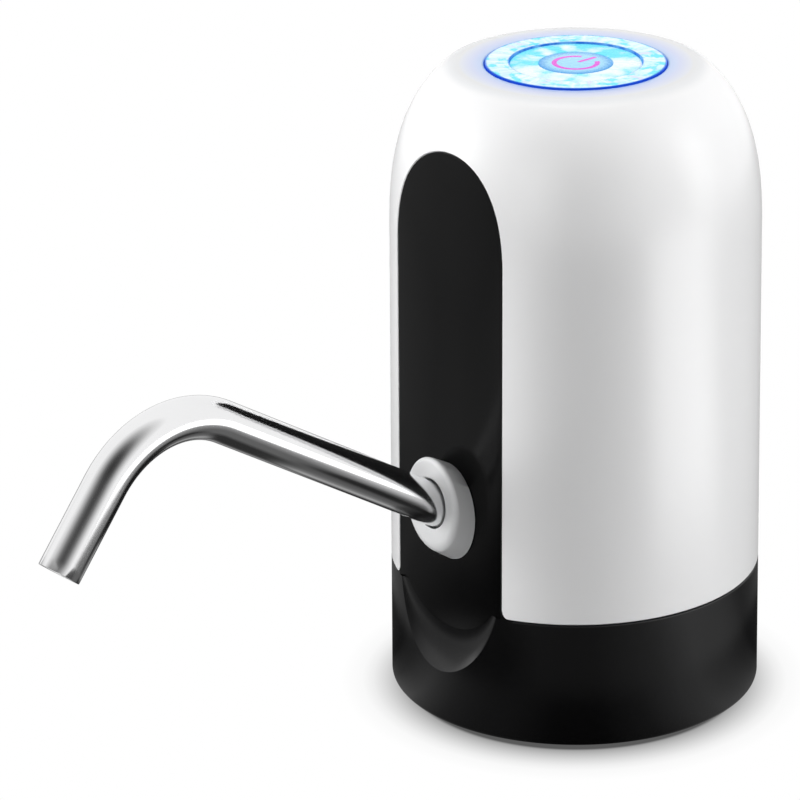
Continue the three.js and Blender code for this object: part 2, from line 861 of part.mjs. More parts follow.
// Small fillets that fill the window's flared corners, flush with the wall
function cornerFillet(side) {
  const edge = panelHalfWidth + slipGap;
  const foot = panelHalfWidth + windowCornerRadius;
  const bottom = shellBottom - seamGap * 2;
  const rise = shellBottom + windowCornerRadius;
  const reach = windowCornerRadius + slipGap;
  const start = Math.acos((foot - edge) / reach);
  const curve = arcPoints(reach, Math.PI + start, (3 * Math.PI) / 2, cornerSteps, foot, rise);
  const outline = [...curve, new THREE.Vector2(foot, bottom), new THREE.Vector2(edge, bottom)];
  const points = outline.map((point) => new THREE.Vector2(side * point.x, point.y));
  if (side < 0) points.reverse();
  const wedge = inFacet(extruded(points, panelHalfWidth).translate(0, 0, -panelThickness));
  const band = pipe(
    wallRadius(shellBottom),
    wallRadius(shellBottom, shellWall),
    bottom,
    rise,
    roundSides,
  );
  return solidOf(wedge).intersect(solidOf(band));
}

function baseCup() {
  const outer = solidOf(
    turned([[0, 0], [wallRadius(0), 0], [wallRadius(shellBottom), shellBottom - seamGap],
      [0, shellBottom - seamGap]], roundSides),
  );
  let base = solidOf(turned(baseProfile(), roundSides));
  const front = -Math.PI / 2;
  for (const rib of copiesAround(ribCount, ribStartDegrees, ribAt)) {
    const apart = Math.abs(Math.atan2(Math.sin(rib.angle - front), Math.cos(rib.angle - front)));
    if (apart * baseScrewCircle > panelHalfWidth + ribThickness) base = base.add(rib.solid);
  }
  const notch = block(
    [-spigotNotchHalfWidth, -floorRadius, shellBottom - seamGap],
    [spigotNotchHalfWidth, -plateRadius + ledgeBack, shellBottom + spigotHeight + cutOverrun],
  );
  base = cut(base, notch);
  base = base.add(solidOf(scoopBacking()).intersect(outer));
  const tongue = extruded(panelOutline(0), panelHalfWidth).translate(0, 0, -panelPocket);
  const holes = copiesAround(baseScrewCount, baseScrewStartDegrees, (i, angle) =>
    onCircle(
      rod(pilotRadius + slipGap, 0, shellBottom + cutOverrun, smallSides),
      baseScrewCircle,
      angle,
    ),
  );
  const inletHole = rod(inletRadius + seatGap, 0, shellBottom + cutOverrun, tubeSides);
  base = cut(base, scoopCutter(), inFacet(tongue), inletHole, ...holes);
  return geometryOf(base.add(cornerFillet(1)).add(cornerFillet(-1)));
}

// Grip ring: one outline of swept fins, extruded
function gripOutline() {
  const inner = gripOuterRadius - gripWall;
  const sweep = THREE.MathUtils.degToRad(finSweepDegrees);
  const pitch = (2 * Math.PI) / finCount;
  const root = finRootThickness / inner;
  const tip = finTipThickness / finTipRadius;
  const points = [];
  for (let i = 0; i < finCount; i++) {
    const start = i * pitch;
    points.push(...arcPoints(inner, start, start + root / 4, 1));
    points.push(...arcPoints(finTipRadius, start + sweep, start + sweep + tip, 1));
    points.push(...arcPoints(inner, start + root, start + (root + pitch) / 2, 1));
  }
  return points;
}

function neckGrip() {
  const ring = extruded(circlePoints(gripOuterRadius, roundSides), gripTop - gripBottom, [
    gripOutline(),
  ]);
  return ring.translate(0, 0, gripBottom);
}

// Screws: a round head under a plain shank
function screw(headRadius, headHeight, shankRadius, length, sides = smallSides) {
  return turned(
    [
      [0, -headHeight],
      [headRadius - headHeight / 3, -headHeight],
      [headRadius, -headHeight / 2],
      [headRadius, 0],
      [shankRadius, 0],
      [shankRadius, length - shankRadius],
      [shankRadius / 3, length],
      [0, length],
    ],
    sides,
  );
}

function baseScrews() {
  return copiesAround(baseScrewCount, baseScrewStartDegrees, (i, angle) => {
    const geometry = screw(
      baseScrewHeadRadius,
      baseScrewHeadHeight,
      baseScrewShankRadius,
      baseScrewLength,
    );
    const mesh = piece(`base_screw_${i + 1}`, geometry, platedSteel);
    mesh.position.set(
      baseScrewCircle * Math.cos(angle),
      baseScrewCircle * Math.sin(angle),
      cupFloorBottom - slipGap / 2,
    );
    return mesh;
  });
}

// Chassis
function troughSection() {
  const inner = cellRadius + seatGap;
  const outer = inner + troughWall;
  const facing = Math.atan2(cellY - pumpY, cellX);
  const half = THREE.MathUtils.degToRad(180 - troughOpenDegrees / 2);
  const back = facing + Math.PI;
  return [
    ...arcPoints(outer, back - half, back + half, smallSides, cellX, cellY),
    ...arcPoints(inner, back + half, back - half, smallSides, cellX, cellY),
  ];
}

function pumpChassis() {
  const plate = rod(plateRadius, plateBottom, plateTop, roundSides);
  const trough = extruded(troughSection(), troughHeight).translate(0, 0, plateTop - slipGap);
  const ringInner = motorRadius + seatGap;
  const ringOuter = ringInner + motorRingWall;
  const ring = pipe(ringOuter, ringInner, motorRingBottom, motorRingBottom + motorRingHeight, partSides);
  ring.translate(0, pumpY, 0);
  const postInner = pumpRadius + pumpEarRadius;
  const post = block(
    [-postInner - motorPostThickness, pumpY - motorPostWidth / 2, plateTop - slipGap],
    [-postInner, pumpY + motorPostWidth / 2, motorRingBottom + motorRingHeight],
  );
  const arm = block(
    [-postInner - motorPostThickness, pumpY - motorPostWidth / 2, motorRingBottom],
    [-ringInner - motorRingWall / 2, pumpY + motorPostWidth / 2, motorRingBottom + motorRingHeight],
  );
  const rails = [-1, 1].map((side) => {
    const middle = (side * (chargeBoardWidth + railWidth)) / 2 - (side * railWidth) / 4;
    return block(
      [middle - railWidth / 2, chargeBoardY - railDepth / 2, plateTop - slipGap],
      [
        middle + railWidth / 2,
        chargeBoardY + boardThickness + railDepth / 3,
        socketHeightAboveFloor - chargeBoardHeight / 2 + railHeight / 2,
      ],
    );
  });
  let frame = joined(plate, trough, ring, post, arm, ...rails);
  const slot = block(
    [
      -chargeBoardWidth / 2 - slipGap,
      chargeBoardY - slipGap,
      socketHeightAboveFloor - chargeBoardHeight / 2 - slipGap,
    ],
    [
      chargeBoardWidth / 2 + slipGap,
      chargeBoardY + boardThickness + slipGap,
      socketHeightAboveFloor + railHeight,
    ],
  );
  const cellSpace = rod(cellRadius + seatGap, plateTop, cellTop, partSides).translate(cellX, cellY, 0);
  const motorSpace = rod(ringInner, plateTop + layerGap, motorTop, partSides).translate(0, pumpY, 0);
  const screwHoles = copiesAround(baseScrewCount, baseScrewStartDegrees, (i, angle) =>
    onCircle(rod(pilotRadius + slipGap, 0, bossBottom, smallSides), baseScrewCircle, angle),
  );
  const inletHole = rod(inletRadius + seatGap, 0, plateTop + cutOverrun, tubeSides);
  frame = cut(frame, slot, cellSpace, motorSpace, inletHole, ...screwHoles);
  return geometryOf(frame);
}

// Pump
function pumpBarb(radius, bore, length, count) {
  const points = [[bore, 0]];
  for (let i = 0; i < count; i++) {
    points.push([radius - barbStep, i * barbPitch]);
    points.push([radius, (i + 1) * barbPitch - barbPitch / 3]);
    points.push([radius, (i + 1) * barbPitch]);
  }
  points.push([radius - barbStep, count * barbPitch], [radius - barbStep, length], [bore, length]);
  return points;
}

function pumpEars(low, high) {
  return copiesAround(pumpScrewCount, pumpScrewStartDegrees, (i, angle) =>
    onCircle(rod(pumpEarRadius, low, high, smallSides), pumpScrewCircle, angle),
  );
}

function pumpScrewHoles(low, high) {
  return copiesAround(pumpScrewCount, pumpScrewStartDegrees, (i, angle) =>
    onCircle(rod(pumpScrewShankRadius + slipGap, low, high, smallSides), pumpScrewCircle, angle),
  );
}

function pumpCover() {
  const top = coverBottom + coverHeight;
  const drum = rod(pumpRadius, coverBottom, top, partSides);
  const inletTip = cupFloorBottom - inletLength;
  const nozzle = turned(
    pumpBarb(inletRadius, inletBore, coverBottom + layerGap - inletTip, barbCount),
    tubeSides,
  ).translate(0, -pumpY, inletTip);
  const port = rod(portRadius, pumpRadius - pumpWall, pumpRadius + portLength, smallSides)
    .rotateY(Math.PI / 2)
    .translate(0, 0, coverBottom + portHeight);
  const inletBoreCut = rod(inletBore, inletTip - cutOverrun, top - pumpWall, tubeSides);
  const portBoreCut = rod(portBore, pumpRadius / 2, pumpRadius + portLength + cutOverrun, smallSides)
    .rotateY(Math.PI / 2)
    .translate(0, 0, coverBottom + portHeight);
  const solid = joined(drum, ...pumpEars(coverBottom, top), nozzle, port);
  return geometryOf(
    cut(
      solid,
      inletBoreCut.translate(0, -pumpY, 0),
      portBoreCut,
      ...pumpScrewHoles(pumpScrewBottom, top + cutOverrun),
      ...copiesAround(pumpScrewCount, pumpScrewStartDegrees, (i, angle) =>
        onCircle(
          rod(
            pumpScrewHeadRadius + slipGap,
            coverBottom - cutOverrun,
            pumpScrewBottom,
            smallSides,
          ),
          pumpScrewCircle,
          angle,
        ),
      ),
    ),
  );
}

function valvePlate() {
  const top = valveBottom + valvePlateThickness;
  const disc = joined(rod(pumpRadius, valveBottom, top, partSides), ...pumpEars(valveBottom, top));
  const holes = copiesAround(2 * chamberCount, 0, (i, angle) =>
    onCircle(
      rod(valveHoleRadius, valveBottom - cutOverrun, top + cutOverrun, smallSides / 2),
      valveCircle,
      angle,
    ),
  );
  return geometryOf(cut(disc, ...holes, ...pumpScrewHoles(0, top + cutOverrun)));
}

function diaphragm() {
  const top = diaphragmBottom + diaphragmThickness;
  const sheet = joined(
    rod(pumpRadius, diaphragmBottom, top, partSides),
    ...pumpEars(diaphragmBottom, top),
  );
  const cups = copiesAround(chamberCount, chamberStartDegrees, (i, angle) =>
    onCircle(
      turned(
        [
          [0, top - slipGap],
          [diaphragmCupRadius, top - slipGap],
          [diaphragmCupRadius * cupShoulderRadiusShare, top + diaphragmCupHeight * cupShoulderHeightShare],
          [diaphragmCupRadius * cupCrownRadiusShare, top + diaphragmCupHeight],
          [0, top + diaphragmCupHeight],
        ],
        smallSides,
      ),
      valveCircle,
      angle,
    ),
  );
  const hollows = copiesAround(chamberCount, chamberStartDegrees, (i, angle) =>
    onCircle(
      rod(
        diaphragmCupRadius * cupHollowRadiusShare,
        diaphragmBottom - slipGap,
        top + diaphragmCupHeight * cupHollowHeightShare,
      ),
      valveCircle,
      angle,
    ),
  );
  let solid = sheet;
  for (const cup of cups) solid = solid.add(solidOf(cup));
  return geometryOf(cut(solid, ...hollows, ...pumpScrewHoles(0, top + cutOverrun)));
}

function crankcase() {
  const inner = pumpRadius - pumpWall;
  const shell = turned(
    [
      [pumpRadius, crankcaseBottom],
      [pumpRadius, crankcaseTop],
      [shaftBossRadius, crankcaseTop],
      [shaftBossRadius, lidBottom],
      [inner, lidBottom],
      [inner, crankcaseBottom],
    ],
    partSides,
  );
  const ears = pumpEars(crankcaseBottom, crankcaseEarTop);
  const room = rod(inner, crankcaseBottom - slipGap, lidBottom, partSides);
  const outside = joined(...ears).subtract(solidOf(room));
  const screwBottoms = pumpScrewHoles(0, crankcaseEarTop - pumpWall);
  return geometryOf(cut(solidOf(shell).add(outside), ...screwBottoms));
}

function wobblePlate() {
  const sweep = crankPinOffset + crankPinRadius + seatGap;
  const top = wobbleBottom + wobbleThickness;
  return turned(
    [
      [0, wobbleBottom],
      [wobbleRadius, wobbleBottom],
      [wobbleRadius, top],
      [wobbleHubRadius, top],
      [wobbleHubRadius, wobbleHubTop],
      [sweep, wobbleHubTop],
      [sweep, top],
      [0, top],
    ],
    partSides,
  );
}

function crank() {
  const top = crankBottom + crankHeight;
  const disc = rod(crankRadius, crankBottom, top, partSides);
  const pin = rod(crankPinRadius, crankBottom - crankPinLength, crankBottom + slipGap);
  pin.translate(crankPinOffset, 0, 0);
  const bore = rod(shaftRadius + slipGap, top - crankBoreDepth, top + cutOverrun);
  return geometryOf(cut(joined(disc, pin), bore));
}

function pumpScrews() {
  return copiesAround(pumpScrewCount, pumpScrewStartDegrees, (i, angle) => {
    const from = pumpScrewBottom - slipGap / 2;
    const length = crankcaseEarTop - pumpWall - layerGap - from;
    const geometry = screw(
      pumpScrewHeadRadius,
      pumpScrewHeadHeight,
      pumpScrewShankRadius,
      length,
      screwSides,
    );
    const mesh = piece(`pump_screw_${i + 1}`, geometry, platedSteel);
    mesh.position.set(pumpScrewCircle * Math.cos(angle), pumpScrewCircle * Math.sin(angle), from);
    return mesh;
  });
}

// Motor
function motorCan() {
  const inner = motorRadius - motorWall;
  return turned(
    [
      [motorRadius, motorBottom],
      [motorRadius, motorTop],
      [inner, motorTop],
      [inner, motorBottom + motorWall],
      [shaftHoleRadius, motorBottom + motorWall],
      [shaftHoleRadius, motorBottom],
    ],
    partSides,
  );
}

function motorEnd() {
  const bottom = motorTop + layerGap;
  const cap = turned(
    [
      [shaftHoleRadius, bottom],
      [motorRadius - motorWall / 2, bottom],
      [motorRadius - motorWall / 2, bottom + motorEndRimHeight],
      [motorRadius - motorWall / 2 - motorEndBevel, bottom + motorEndHeight],
      [shaftHoleRadius, bottom + motorEndHeight],
    ],
    partSides,
  );
  const slots = [-1, 1].map((side) =>
    block(
      [
        (side * terminalSpacing) / 2 - terminalThickness / 2 - slipGap,
        -terminalWidth / 2 - slipGap,
        bottom + motorEndHeight / 3,
      ],
      [
        (side * terminalSpacing) / 2 + terminalThickness / 2 + slipGap,
        terminalWidth / 2 + slipGap,
        bottom + motorEndHeight + cutOverrun,
      ],
    ),
  );
  return geometryOf(cut(solidOf(cap), ...slots));
}

function motorTerminal(side) {
  const bottom = motorTop + layerGap + motorEndHeight / 3 + slipGap;
  return block(
    [(side * terminalSpacing) / 2 - terminalThickness / 2, -terminalWidth / 2, bottom],
    [(side * terminalSpacing) / 2 + terminalThickness / 2, terminalWidth / 2, bottom + terminalHeight],
  );
}

function motorMagnet(angle) {
  const outer = motorRadius - motorWall - slipGap;
  const inner = outer - magnetThickness;
  const half = THREE.MathUtils.degToRad(magnetSpanDegrees) / 2;
  const section = [
    ...arcPoints(outer, angle - half, angle + half, smallSides),
    ...arcPoints(inner, angle + half, angle - half, smallSides),
  ];
  const bottom = motorBottom + (motorLength - magnetLength) / 2;
  return extruded(section, magnetLength).translate(0, 0, bottom);
}

function armature() {
  const pitch = (2 * Math.PI) / armaturePoles;
  const shoeHalf = pitch * poleShoeShare;
  const points = [];
  for (let i = 0; i < armaturePoles; i++) {
    const angle = i * pitch;
    const neckInner = Math.asin(armatureNeck / 2 / armatureCoreRadius);
    const shoeInner = armatureRadius - poleShoe;
    const neckOuter = Math.asin(armatureNeck / 2 / shoeInner);
    points.push(polarPoint(armatureCoreRadius, angle - neckInner));
    points.push(...arcPoints(shoeInner, angle - neckOuter, angle - shoeHalf, 1));
    points.push(...arcPoints(armatureRadius, angle - shoeHalf, angle + shoeHalf, cornerSteps));
    points.push(...arcPoints(shoeInner, angle + shoeHalf, angle + neckOuter, 1));
    points.push(polarPoint(armatureCoreRadius, angle + neckInner));
  }
  const bore = circlePoints(shaftRadius + slipGap / 2, smallSides);
  const bottom = motorBottom + (motorLength - armatureLength) / 2;
  return extruded(points, armatureLength, [bore]).translate(0, 0, bottom);
}

function motorShaft() {
  const bottom = crankBottom + crankHeight - crankBoreDepth + slipGap;
  return rod(shaftRadius, bottom, motorTop + layerGap + motorEndHeight * shaftTipShare);
}

// Cell
function cell() {
  return turned(
    [
      [0, cellBottom],
      [cellRadius - cellEdgeRound, cellBottom],
      [cellRadius, cellBottom + cellEdgeRound],
      [cellRadius, cellTop - cellEdgeRound],
      [cellRadius - cellEdgeRound, cellTop],
      [cellCapRadius, cellTop],
      [cellCapRadius, cellTop + cellCapHeight],
      [0, cellTop + cellCapHeight],
    ],
    partSides,
  );
}

function cellTab(bottom) {
  const plate = extruded(roundedRectangle(tabWidth, cellRadius, tabWidth / 4, 2), tabThickness);
  return plate.translate(0, 0, bottom);
}

// Charging board
function chargeBoard() {
  return block(
    [
      -chargeBoardWidth / 2,
      chargeBoardY,
      socketHeightAboveFloor - chargeBoardHeight / 2,
    ],
    [
      chargeBoardWidth / 2,
      chargeBoardY + boardThickness,
      socketHeightAboveFloor + chargeBoardHeight / 2,
    ],
  );
}

function chargeSocket() {
  const back = chargeBoardY + boardThickness + slipGap;
  const outer = roundedRectangle(socketWidth, socketHeight, socketHeight / 3, 2);
  const inner = roundedRectangle(
    socketWidth - 2 * socketShell,
    socketHeight - 2 * socketShell,
    socketHeight / 3 - socketShell / 2,
    2,
  );
  const depth = socketFront - back;
  const shell = solidOf(extruded(outer, depth));
  const hollow = extruded(inner, depth).translate(0, 0, depth / 3);
  const tongue = block(
    [-socketWidth / 4, -socketTongue / 2, 0],
    [socketWidth / 4, socketTongue / 2, depth - socketMouthDepth],
  );
  const socket = cut(shell, hollow).add(solidOf(tongue));
  return geometryOf(socket).rotateX(-Math.PI / 2).translate(0, back, socketHeightAboveFloor);
}

function chargeIndicator() {
  const height = socketHeightAboveFloor + indicatorRise;
  const back = chargeBoardY + boardThickness + slipGap;
  return rod(indicatorRadius, back, wallRadius(height, slipGap))
    .rotateX(-Math.PI / 2)
    .translate(0, 0, height);
}

// Top light ring
function lightRing() {
  const outer = ringOuterRadius - slipGap;
  const bottom = bodyHeight - ringHeight;
  const flangeTop = ceiling - slipGap;
  return turned(
    [
      [outer, bottom],
      [outer, flangeTop - ringFlangeThickness],
      [outer + ringFlange, flangeTop - ringFlangeThickness],
      [outer + ringFlange, flangeTop],
      [outer, flangeTop],
      [outer, ringTop],
      [ringInnerRadius, ringTop],
      [ringInnerRadius, bottom + ringLipHeight],
      [ringInnerRadius - ringLip, bottom + ringLipHeight],
      [ringInnerRadius - ringLip, bottom],
    ],
    capSides,
  );
}

// Push button
function buttonCap() {
  const skirt = ringInnerRadius - ringLip - seatGap;
  const hook = ringInnerRadius - ringLip / 2;
  const skirtBottom = bodyHeight - skirtDrop;
  const hookTop = bodyHeight - ringHeight - seatGap;
  const pocket = lensRadius + slipGap;
  const pocketFloor = bodyHeight - lensThickness - slipGap;
  const stemBottom = plungerTop + seatGap;
  return turned(
    [
      [0, stemBottom],
      [stemRadius, stemBottom],
      [stemRadius, buttonUnderside],
      [skirt - skirtWall, buttonUnderside],
      [skirt - skirtWall, skirtBottom],
      [hook - hookHeight / 2, skirtBottom],
      [hook, skirtBottom + hookHeight / 2],
      [hook, hookTop],
      [skirt, hookTop],
      [skirt, buttonUnderside],
      [buttonRadius, buttonUnderside],
      [buttonRadius, bodyHeight],
      [pocket, bodyHeight],
      [pocket, pocketFloor],
      [0, pocketFloor],
    ],
    capSides,
  );
}

function buttonLens() {
  return rod(lensRadius, bodyHeight - lensThickness, bodyHeight, partSides);
}

function controlBoard() {
  const disc = rod(boardRadius, boardBottom, boardTop, partSides);
  const holes = copiesAround(postCount, postStartDegrees, (i, angle) =>
    onCircle(rod(boardScrewShankRadius + slipGap, 0, bodyHeight, smallSides), postCircle, angle),
  );
  return geometryOf(cut(solidOf(disc), ...holes));
}

function boardScrews() {
  return copiesAround(postCount, postStartDegrees, (i, angle) => {
    const geometry = screw(
      boardScrewHeadRadius,
      boardScrewHeadHeight,
      boardScrewShankRadius,
      boardScrewLength,
      screwSides,
    );
    const mesh = piece(`board_screw_${i + 1}`, geometry, platedSteel);
    mesh.position.set(
      postCircle * Math.cos(angle),
      postCircle * Math.sin(angle),
      boardBottom - slipGap / 2,
    );
    return mesh;
  });
}

function ringLeds() {
  return copiesAround(ledCount, 0, (i, angle) => {
    const geometry = block(
      [-ledDepth / 2, -ledWidth / 2, boardTop + slipGap / 2],
      [ledDepth / 2, ledWidth / 2, boardTop + ledHeight],
    );
    const mesh = piece(`ring_led_${i + 1}`, geometry, ledWhite);
    mesh.position.set(ledCircle * Math.cos(angle), ledCircle * Math.sin(angle), 0);
    mesh.rotation.z = angle;
    return mesh;
  });
}

function tactSwitch() {
  const low = boardTop + slipGap / 2;
  const high = boardTop + switchHeight;
  const body = block([-switchSide / 2, -switchSide / 2, low], [switchSide / 2, switchSide / 2, high]);
  const well = rod(plungerRadius + slipGap, low + switchHeight / 6, high + cutOverrun);
  return geometryOf(cut(solidOf(body), well));
}

function switchPlunger() {
  return rod(plungerRadius, plungerTop - plungerHeight - switchHeight / 2, plungerTop);
}

// Button spring: one round wire wound up in a helix between flat end coils
function buttonSpring() {
  const bottom = boardTop + slipGap + springWire / 2;
  const top = buttonUnderside - slipGap - springWire / 2;
  const steps = springTurns * smallSides;
  const rings = [];
  for (let i = 0; i <= steps; i++) {
    const share = i / steps;
    const angle = 2 * Math.PI * springTurns * share;
    const height = bottom + (top - bottom) * share;
    const ring = [];
    for (let k = 0; k < wireSides; k++) {
      const turn = (-2 * Math.PI * k) / wireSides;
      const radius = springRadius + (springWire / 2) * Math.cos(turn);
      const lift = (springWire / 2) * Math.sin(turn);
      ring.push(
        new THREE.Vector3(radius * Math.cos(angle), radius * Math.sin(angle), height + lift),
      );
    }
    rings.push(ring);
  }
  return lofted(rings);
}

// Seat on the panel: a low oval boss sheared along the spout's rise, with a lip over the sleeve
function outletSeat() {
  const foot = slipGap / 3;
  const crown = arcPoints(
    seatRound,
    0,
    Math.PI / 2,
    cornerSteps,
    seatHalfWidth - seatTaper - seatRound,
    seatHeight - seatRound,
  ).map((point) => [point.x, point.y]);
  const boss = turned([[0, foot], [seatHalfWidth, foot], ...crown, [0, seatHeight]], capSides);
  const lean = new THREE.Matrix4().makeShear(0, 0, 0, 0, 0, Math.tan(outletRise));
  boss.scale(1, seatHalfLength / seatHalfWidth, 1).applyMatrix4(lean).translate(0, outletHeight, 0);
  const bore = inOutlet(rod(sleeveBoreRadius, -elbowEnd, seatBoreEnd, sleeveSides));
  const hole = inOutlet(rod(spoutRadius + seatGap, -elbowEnd, elbowEnd, sleeveSides));
  const holes = seatScrewHoles(seatScrewShankRadius + slipGap, -cutOverrun, seatScrewDepth);
  return geometryOf(cut(solidOf(boss), bore, hole, ...holes));
}

// Sleeve that turns with the spout, along the outlet's own axis
function spoutSleeve() {
  const bore = spoutRadius + slipGap;
  const flangeLow = -sleeveFlangeDepth;
  const flangeHigh = flangeLow + sleeveFlangeThickness;
  return turned(
    [
      [sleeveRadius, -sleeveTail],
      [sleeveRadius, flangeLow],
      [sleeveFlangeRadius, flangeLow],
      [sleeveFlangeRadius, flangeHigh],
      [sleeveRadius, flangeHigh],
      [sleeveRadius, sleeveFront - seatGap],
      [sleeveRadius - seatGap, sleeveFront],
      [bore, sleeveFront],
      [bore, -sleeveTail],
    ],
    sleeveSides,
  );
}

// Elbow behind the panel, with its flange against the panel and a hose barb to the side
function outletElbow() {
  const back = -panelThickness - slipGap;
  const body = inOutlet(rod(elbowRadius, -elbowEnd, 0, sleeveSides));
  const flange = rod(elbowFlangeRadius, back - elbowFlangeThickness, back, sleeveSides);
  flange.translate(0, outletHeight, 0);
  const middle = -(elbowBoreEnd + elbowChamber / 2);
  const barb = inOutlet(
    rod(portRadius, elbowRadius - elbowWall, elbowRadius + elbowBarbLength)
      .rotateY(Math.PI / 2)
      .translate(0, 0, middle),
  );
  const behind = block(
    [-elbowEnd, outletHeight - 2 * elbowEnd, -2 * elbowEnd],
    [2 * elbowEnd, outletHeight + 2 * elbowEnd, back],
  );
  const well = sleeveFlangeDepth + 2 * ringSectionRadius + 2 * seatGap;
  const counterbore = inOutlet(rod(passageRadius, -well, elbowEnd, tubeSides));
  const bore = inOutlet(rod(sleeveRadius + slipGap, -elbowBoreEnd, 0, tubeSides));
  const chamber = inOutlet(rod(elbowChamberRadius, -elbowBoreEnd - elbowChamber, 0, smallSides));
  const barbBore = inOutlet(
    rod(portBore, 0, elbowRadius + elbowBarbLength + cutOverrun)
      .rotateY(Math.PI / 2)
      .translate(0, 0, middle),
  );
  const holes = seatScrewHoles(seatScrewShankRadius + slipGap, -panelHalfWidth, 0);
  const solid = joined(body, flange, barb).intersect(solidOf(behind));
  return geometryOf(cut(solid, counterbore, bore, chamber, barbBore, ...holes));
}

function seatScrew(side) {
  const back = -panelThickness - slipGap - elbowFlangeThickness - slipGap / 2;
  const geometry = screw(
    seatScrewHeadRadius,
    seatScrewHeadHeight,
    seatScrewShankRadius,
    seatScrewDepth - seatGap - back,
    screwSides,
  );
  return geometry.translate(side * seatScrewAcross, outletHeight + seatScrewRise, back);
}

function outletRing() {
  const middle = (passageRadius + sleeveRadius) / 2;
  const ring = new THREE.TorusGeometry(middle, ringSectionRadius, wireSides, tubeSides);
  return ring.translate(0, 0, -sleeveFlangeDepth - ringSectionRadius - seatGap);
}

// Spout centreline: stations at the ends of the legs and evenly round the bend
class SpoutLine extends THREE.Curve {
  constructor() {
    super();
    this.turn = THREE.MathUtils.degToRad(spoutTurnDegrees);
    this.bendStart = spoutFirstLeg - spoutBendRadius * Math.tan(this.turn / 2);
    this.legEnd = spoutSecondLeg - spoutBendRadius * Math.tan(this.turn / 2);
  }

  getPoint(t, target = new THREE.Vector3()) {
    const station = t * (bendSteps + 2);
    const angle = this.angleAt(t);
    const y = -spoutBendRadius * (1 - Math.cos(angle));
    const z = this.bendStart + spoutBendRadius * Math.sin(angle);
    if (station < 1) return target.set(0, 0, THREE.MathUtils.lerp(-spoutDepth, this.bendStart, station));
    const past = Math.max(0, station - bendSteps - 1) * this.legEnd;
    return target.set(0, y - past * Math.sin(angle), z + past * Math.cos(angle));
  }

  angleAt(t) {
    const share = (t * (bendSteps + 2) - 1) / bendSteps;
    return this.turn * THREE.MathUtils.clamp(share, 0, 1);
  }

  getPointAt(u, target) {
    return this.getPoint(u, target);
  }

  getTangentAt(u, target = new THREE.Vector3()) {
    const angle = this.angleAt(u);
    return target.set(0, -Math.sin(angle), Math.cos(angle));
  }
}

function spoutTube() {
  const shape = new THREE.Shape(circlePoints(spoutRadius, tubeSides));
  shape.holes = [new THREE.Path(circlePoints(spoutRadius - spoutWall, tubeSides))];
  const settings = { extrudePath: new SpoutLine(), steps: bendSteps + 2, bevelEnabled: false };
  return new THREE.ExtrudeGeometry(shape, settings);
}

// Hose: a half turn from the elbow's barb back to the pump's port
class HoseLine extends THREE.Curve {
  constructor(start, end) {
    super();
    this.start = start;
    this.end = end;
  }

  getPoint(t, target = new THREE.Vector3()) {
    const straight = hoseStraightShare;
    const share = THREE.MathUtils.clamp((t - straight) / (1 - 2 * straight), 0, 1);
    const angle = Math.PI * share;
    const ease = (1 - Math.cos(angle)) / 2;
    const outward = hoseBulge * Math.sin(angle);
    const early = Math.min(t / straight, 1);
    const late = Math.min((1 - t) / straight, 1);
    const slide = hoseOverlap * (early + late - 2);
    target.lerpVectors(this.start, this.end, ease);
    target.x = THREE.MathUtils.lerp(this.start.x, this.end.x, share) + outward + slide;
    return target;
  }
}

function outletPoint(across, along) {
  const point = new THREE.Vector3(across, 0, along);
  return point.applyMatrix4(outletFrame).applyMatrix4(facetFrame);
}

function deliveryHose() {
  const barbEnd = outletPoint(
    elbowRadius + elbowBarbLength - seatGap,
    -(elbowBoreEnd + elbowChamber / 2),
  );
  const portEnd = new THREE.Vector3(pumpRadius + portLength - seatGap, pumpY, coverBottom + portHeight);
  const shape = new THREE.Shape(circlePoints(hoseRadius, hoseSides));
  shape.holes = [new THREE.Path(circlePoints(hoseBore, hoseSides))];
  const settings = {
    extrudePath: new HoseLine(barbEnd, portEnd),
    steps: bendSteps + 2,
    bevelEnabled: false,
  };
  return new THREE.ExtrudeGeometry(shape, settings);
}

// Assembly
function housingPieces() {
  return [
    piece("outer_shell", outerShell(), glossWhite),
    piece("base_cup", baseCup(), blackPlastic),
    piece("neck_grip", neckGrip(), blackRubber),
    ...baseScrews(),
    piece("pump_chassis", pumpChassis(), naturalPlastic),
  ];
}

function pumpPieces() {
  const group = new THREE.Group();
  group.position.y = pumpY;
  group.add(
    piece("pump_cover", pumpCover(), naturalPlastic),
    piece("valve_plate", valvePlate(), greyPlastic),
    piece("diaphragm", diaphragm(), blackRubber),
    piece("crankcase", crankcase(), naturalPlastic),
    piece("wobble_plate", wobblePlate(), greyPlastic),
    piece("crank", crank(), greyPlastic),
    ...pumpScrews(),
    piece("motor_can", motorCan(), platedSteel),
    piece("motor_end", motorEnd(), greyPlastic),
    piece("motor_terminal_1", motorTerminal(-1), brassMetal),
    piece("motor_terminal_2", motorTerminal(1), brassMetal),
    piece("motor_magnet_1", motorMagnet(0), magnetDark),
    piece("motor_magnet_2", motorMagnet(Math.PI), magnetDark),
    piece("armature", armature(), platedSteel),
    piece("motor_shaft", motorShaft(), polishedSteel),
  );
  return group;
}

function powerPieces() {
  const group = new THREE.Group();
  group.position.set(cellX, cellY, 0);
  group.add(
    piece("battery_cell", cell(), cellBlue),
    piece("cell_tab_bottom", cellTab(plateTop + seatGap), platedSteel),
    piece("cell_tab_top", cellTab(cellTop + cellCapHeight + seatGap), platedSteel),
  );
  return group;
}

function boardPieces() {
  return [
    piece("charge_board", chargeBoard(), boardGreen),
    piece("charge_socket", chargeSocket(), platedSteel),
    piece("charge_indicator", chargeIndicator(), clearPlastic),
    piece("control_board", controlBoard(), boardGreen),
    ...boardScrews(),
    ...ringLeds(),
    piece("tact_switch", tactSwitch(), blackPlastic),
    piece("switch_plunger", switchPlunger(), greyPlastic),
  ];
}

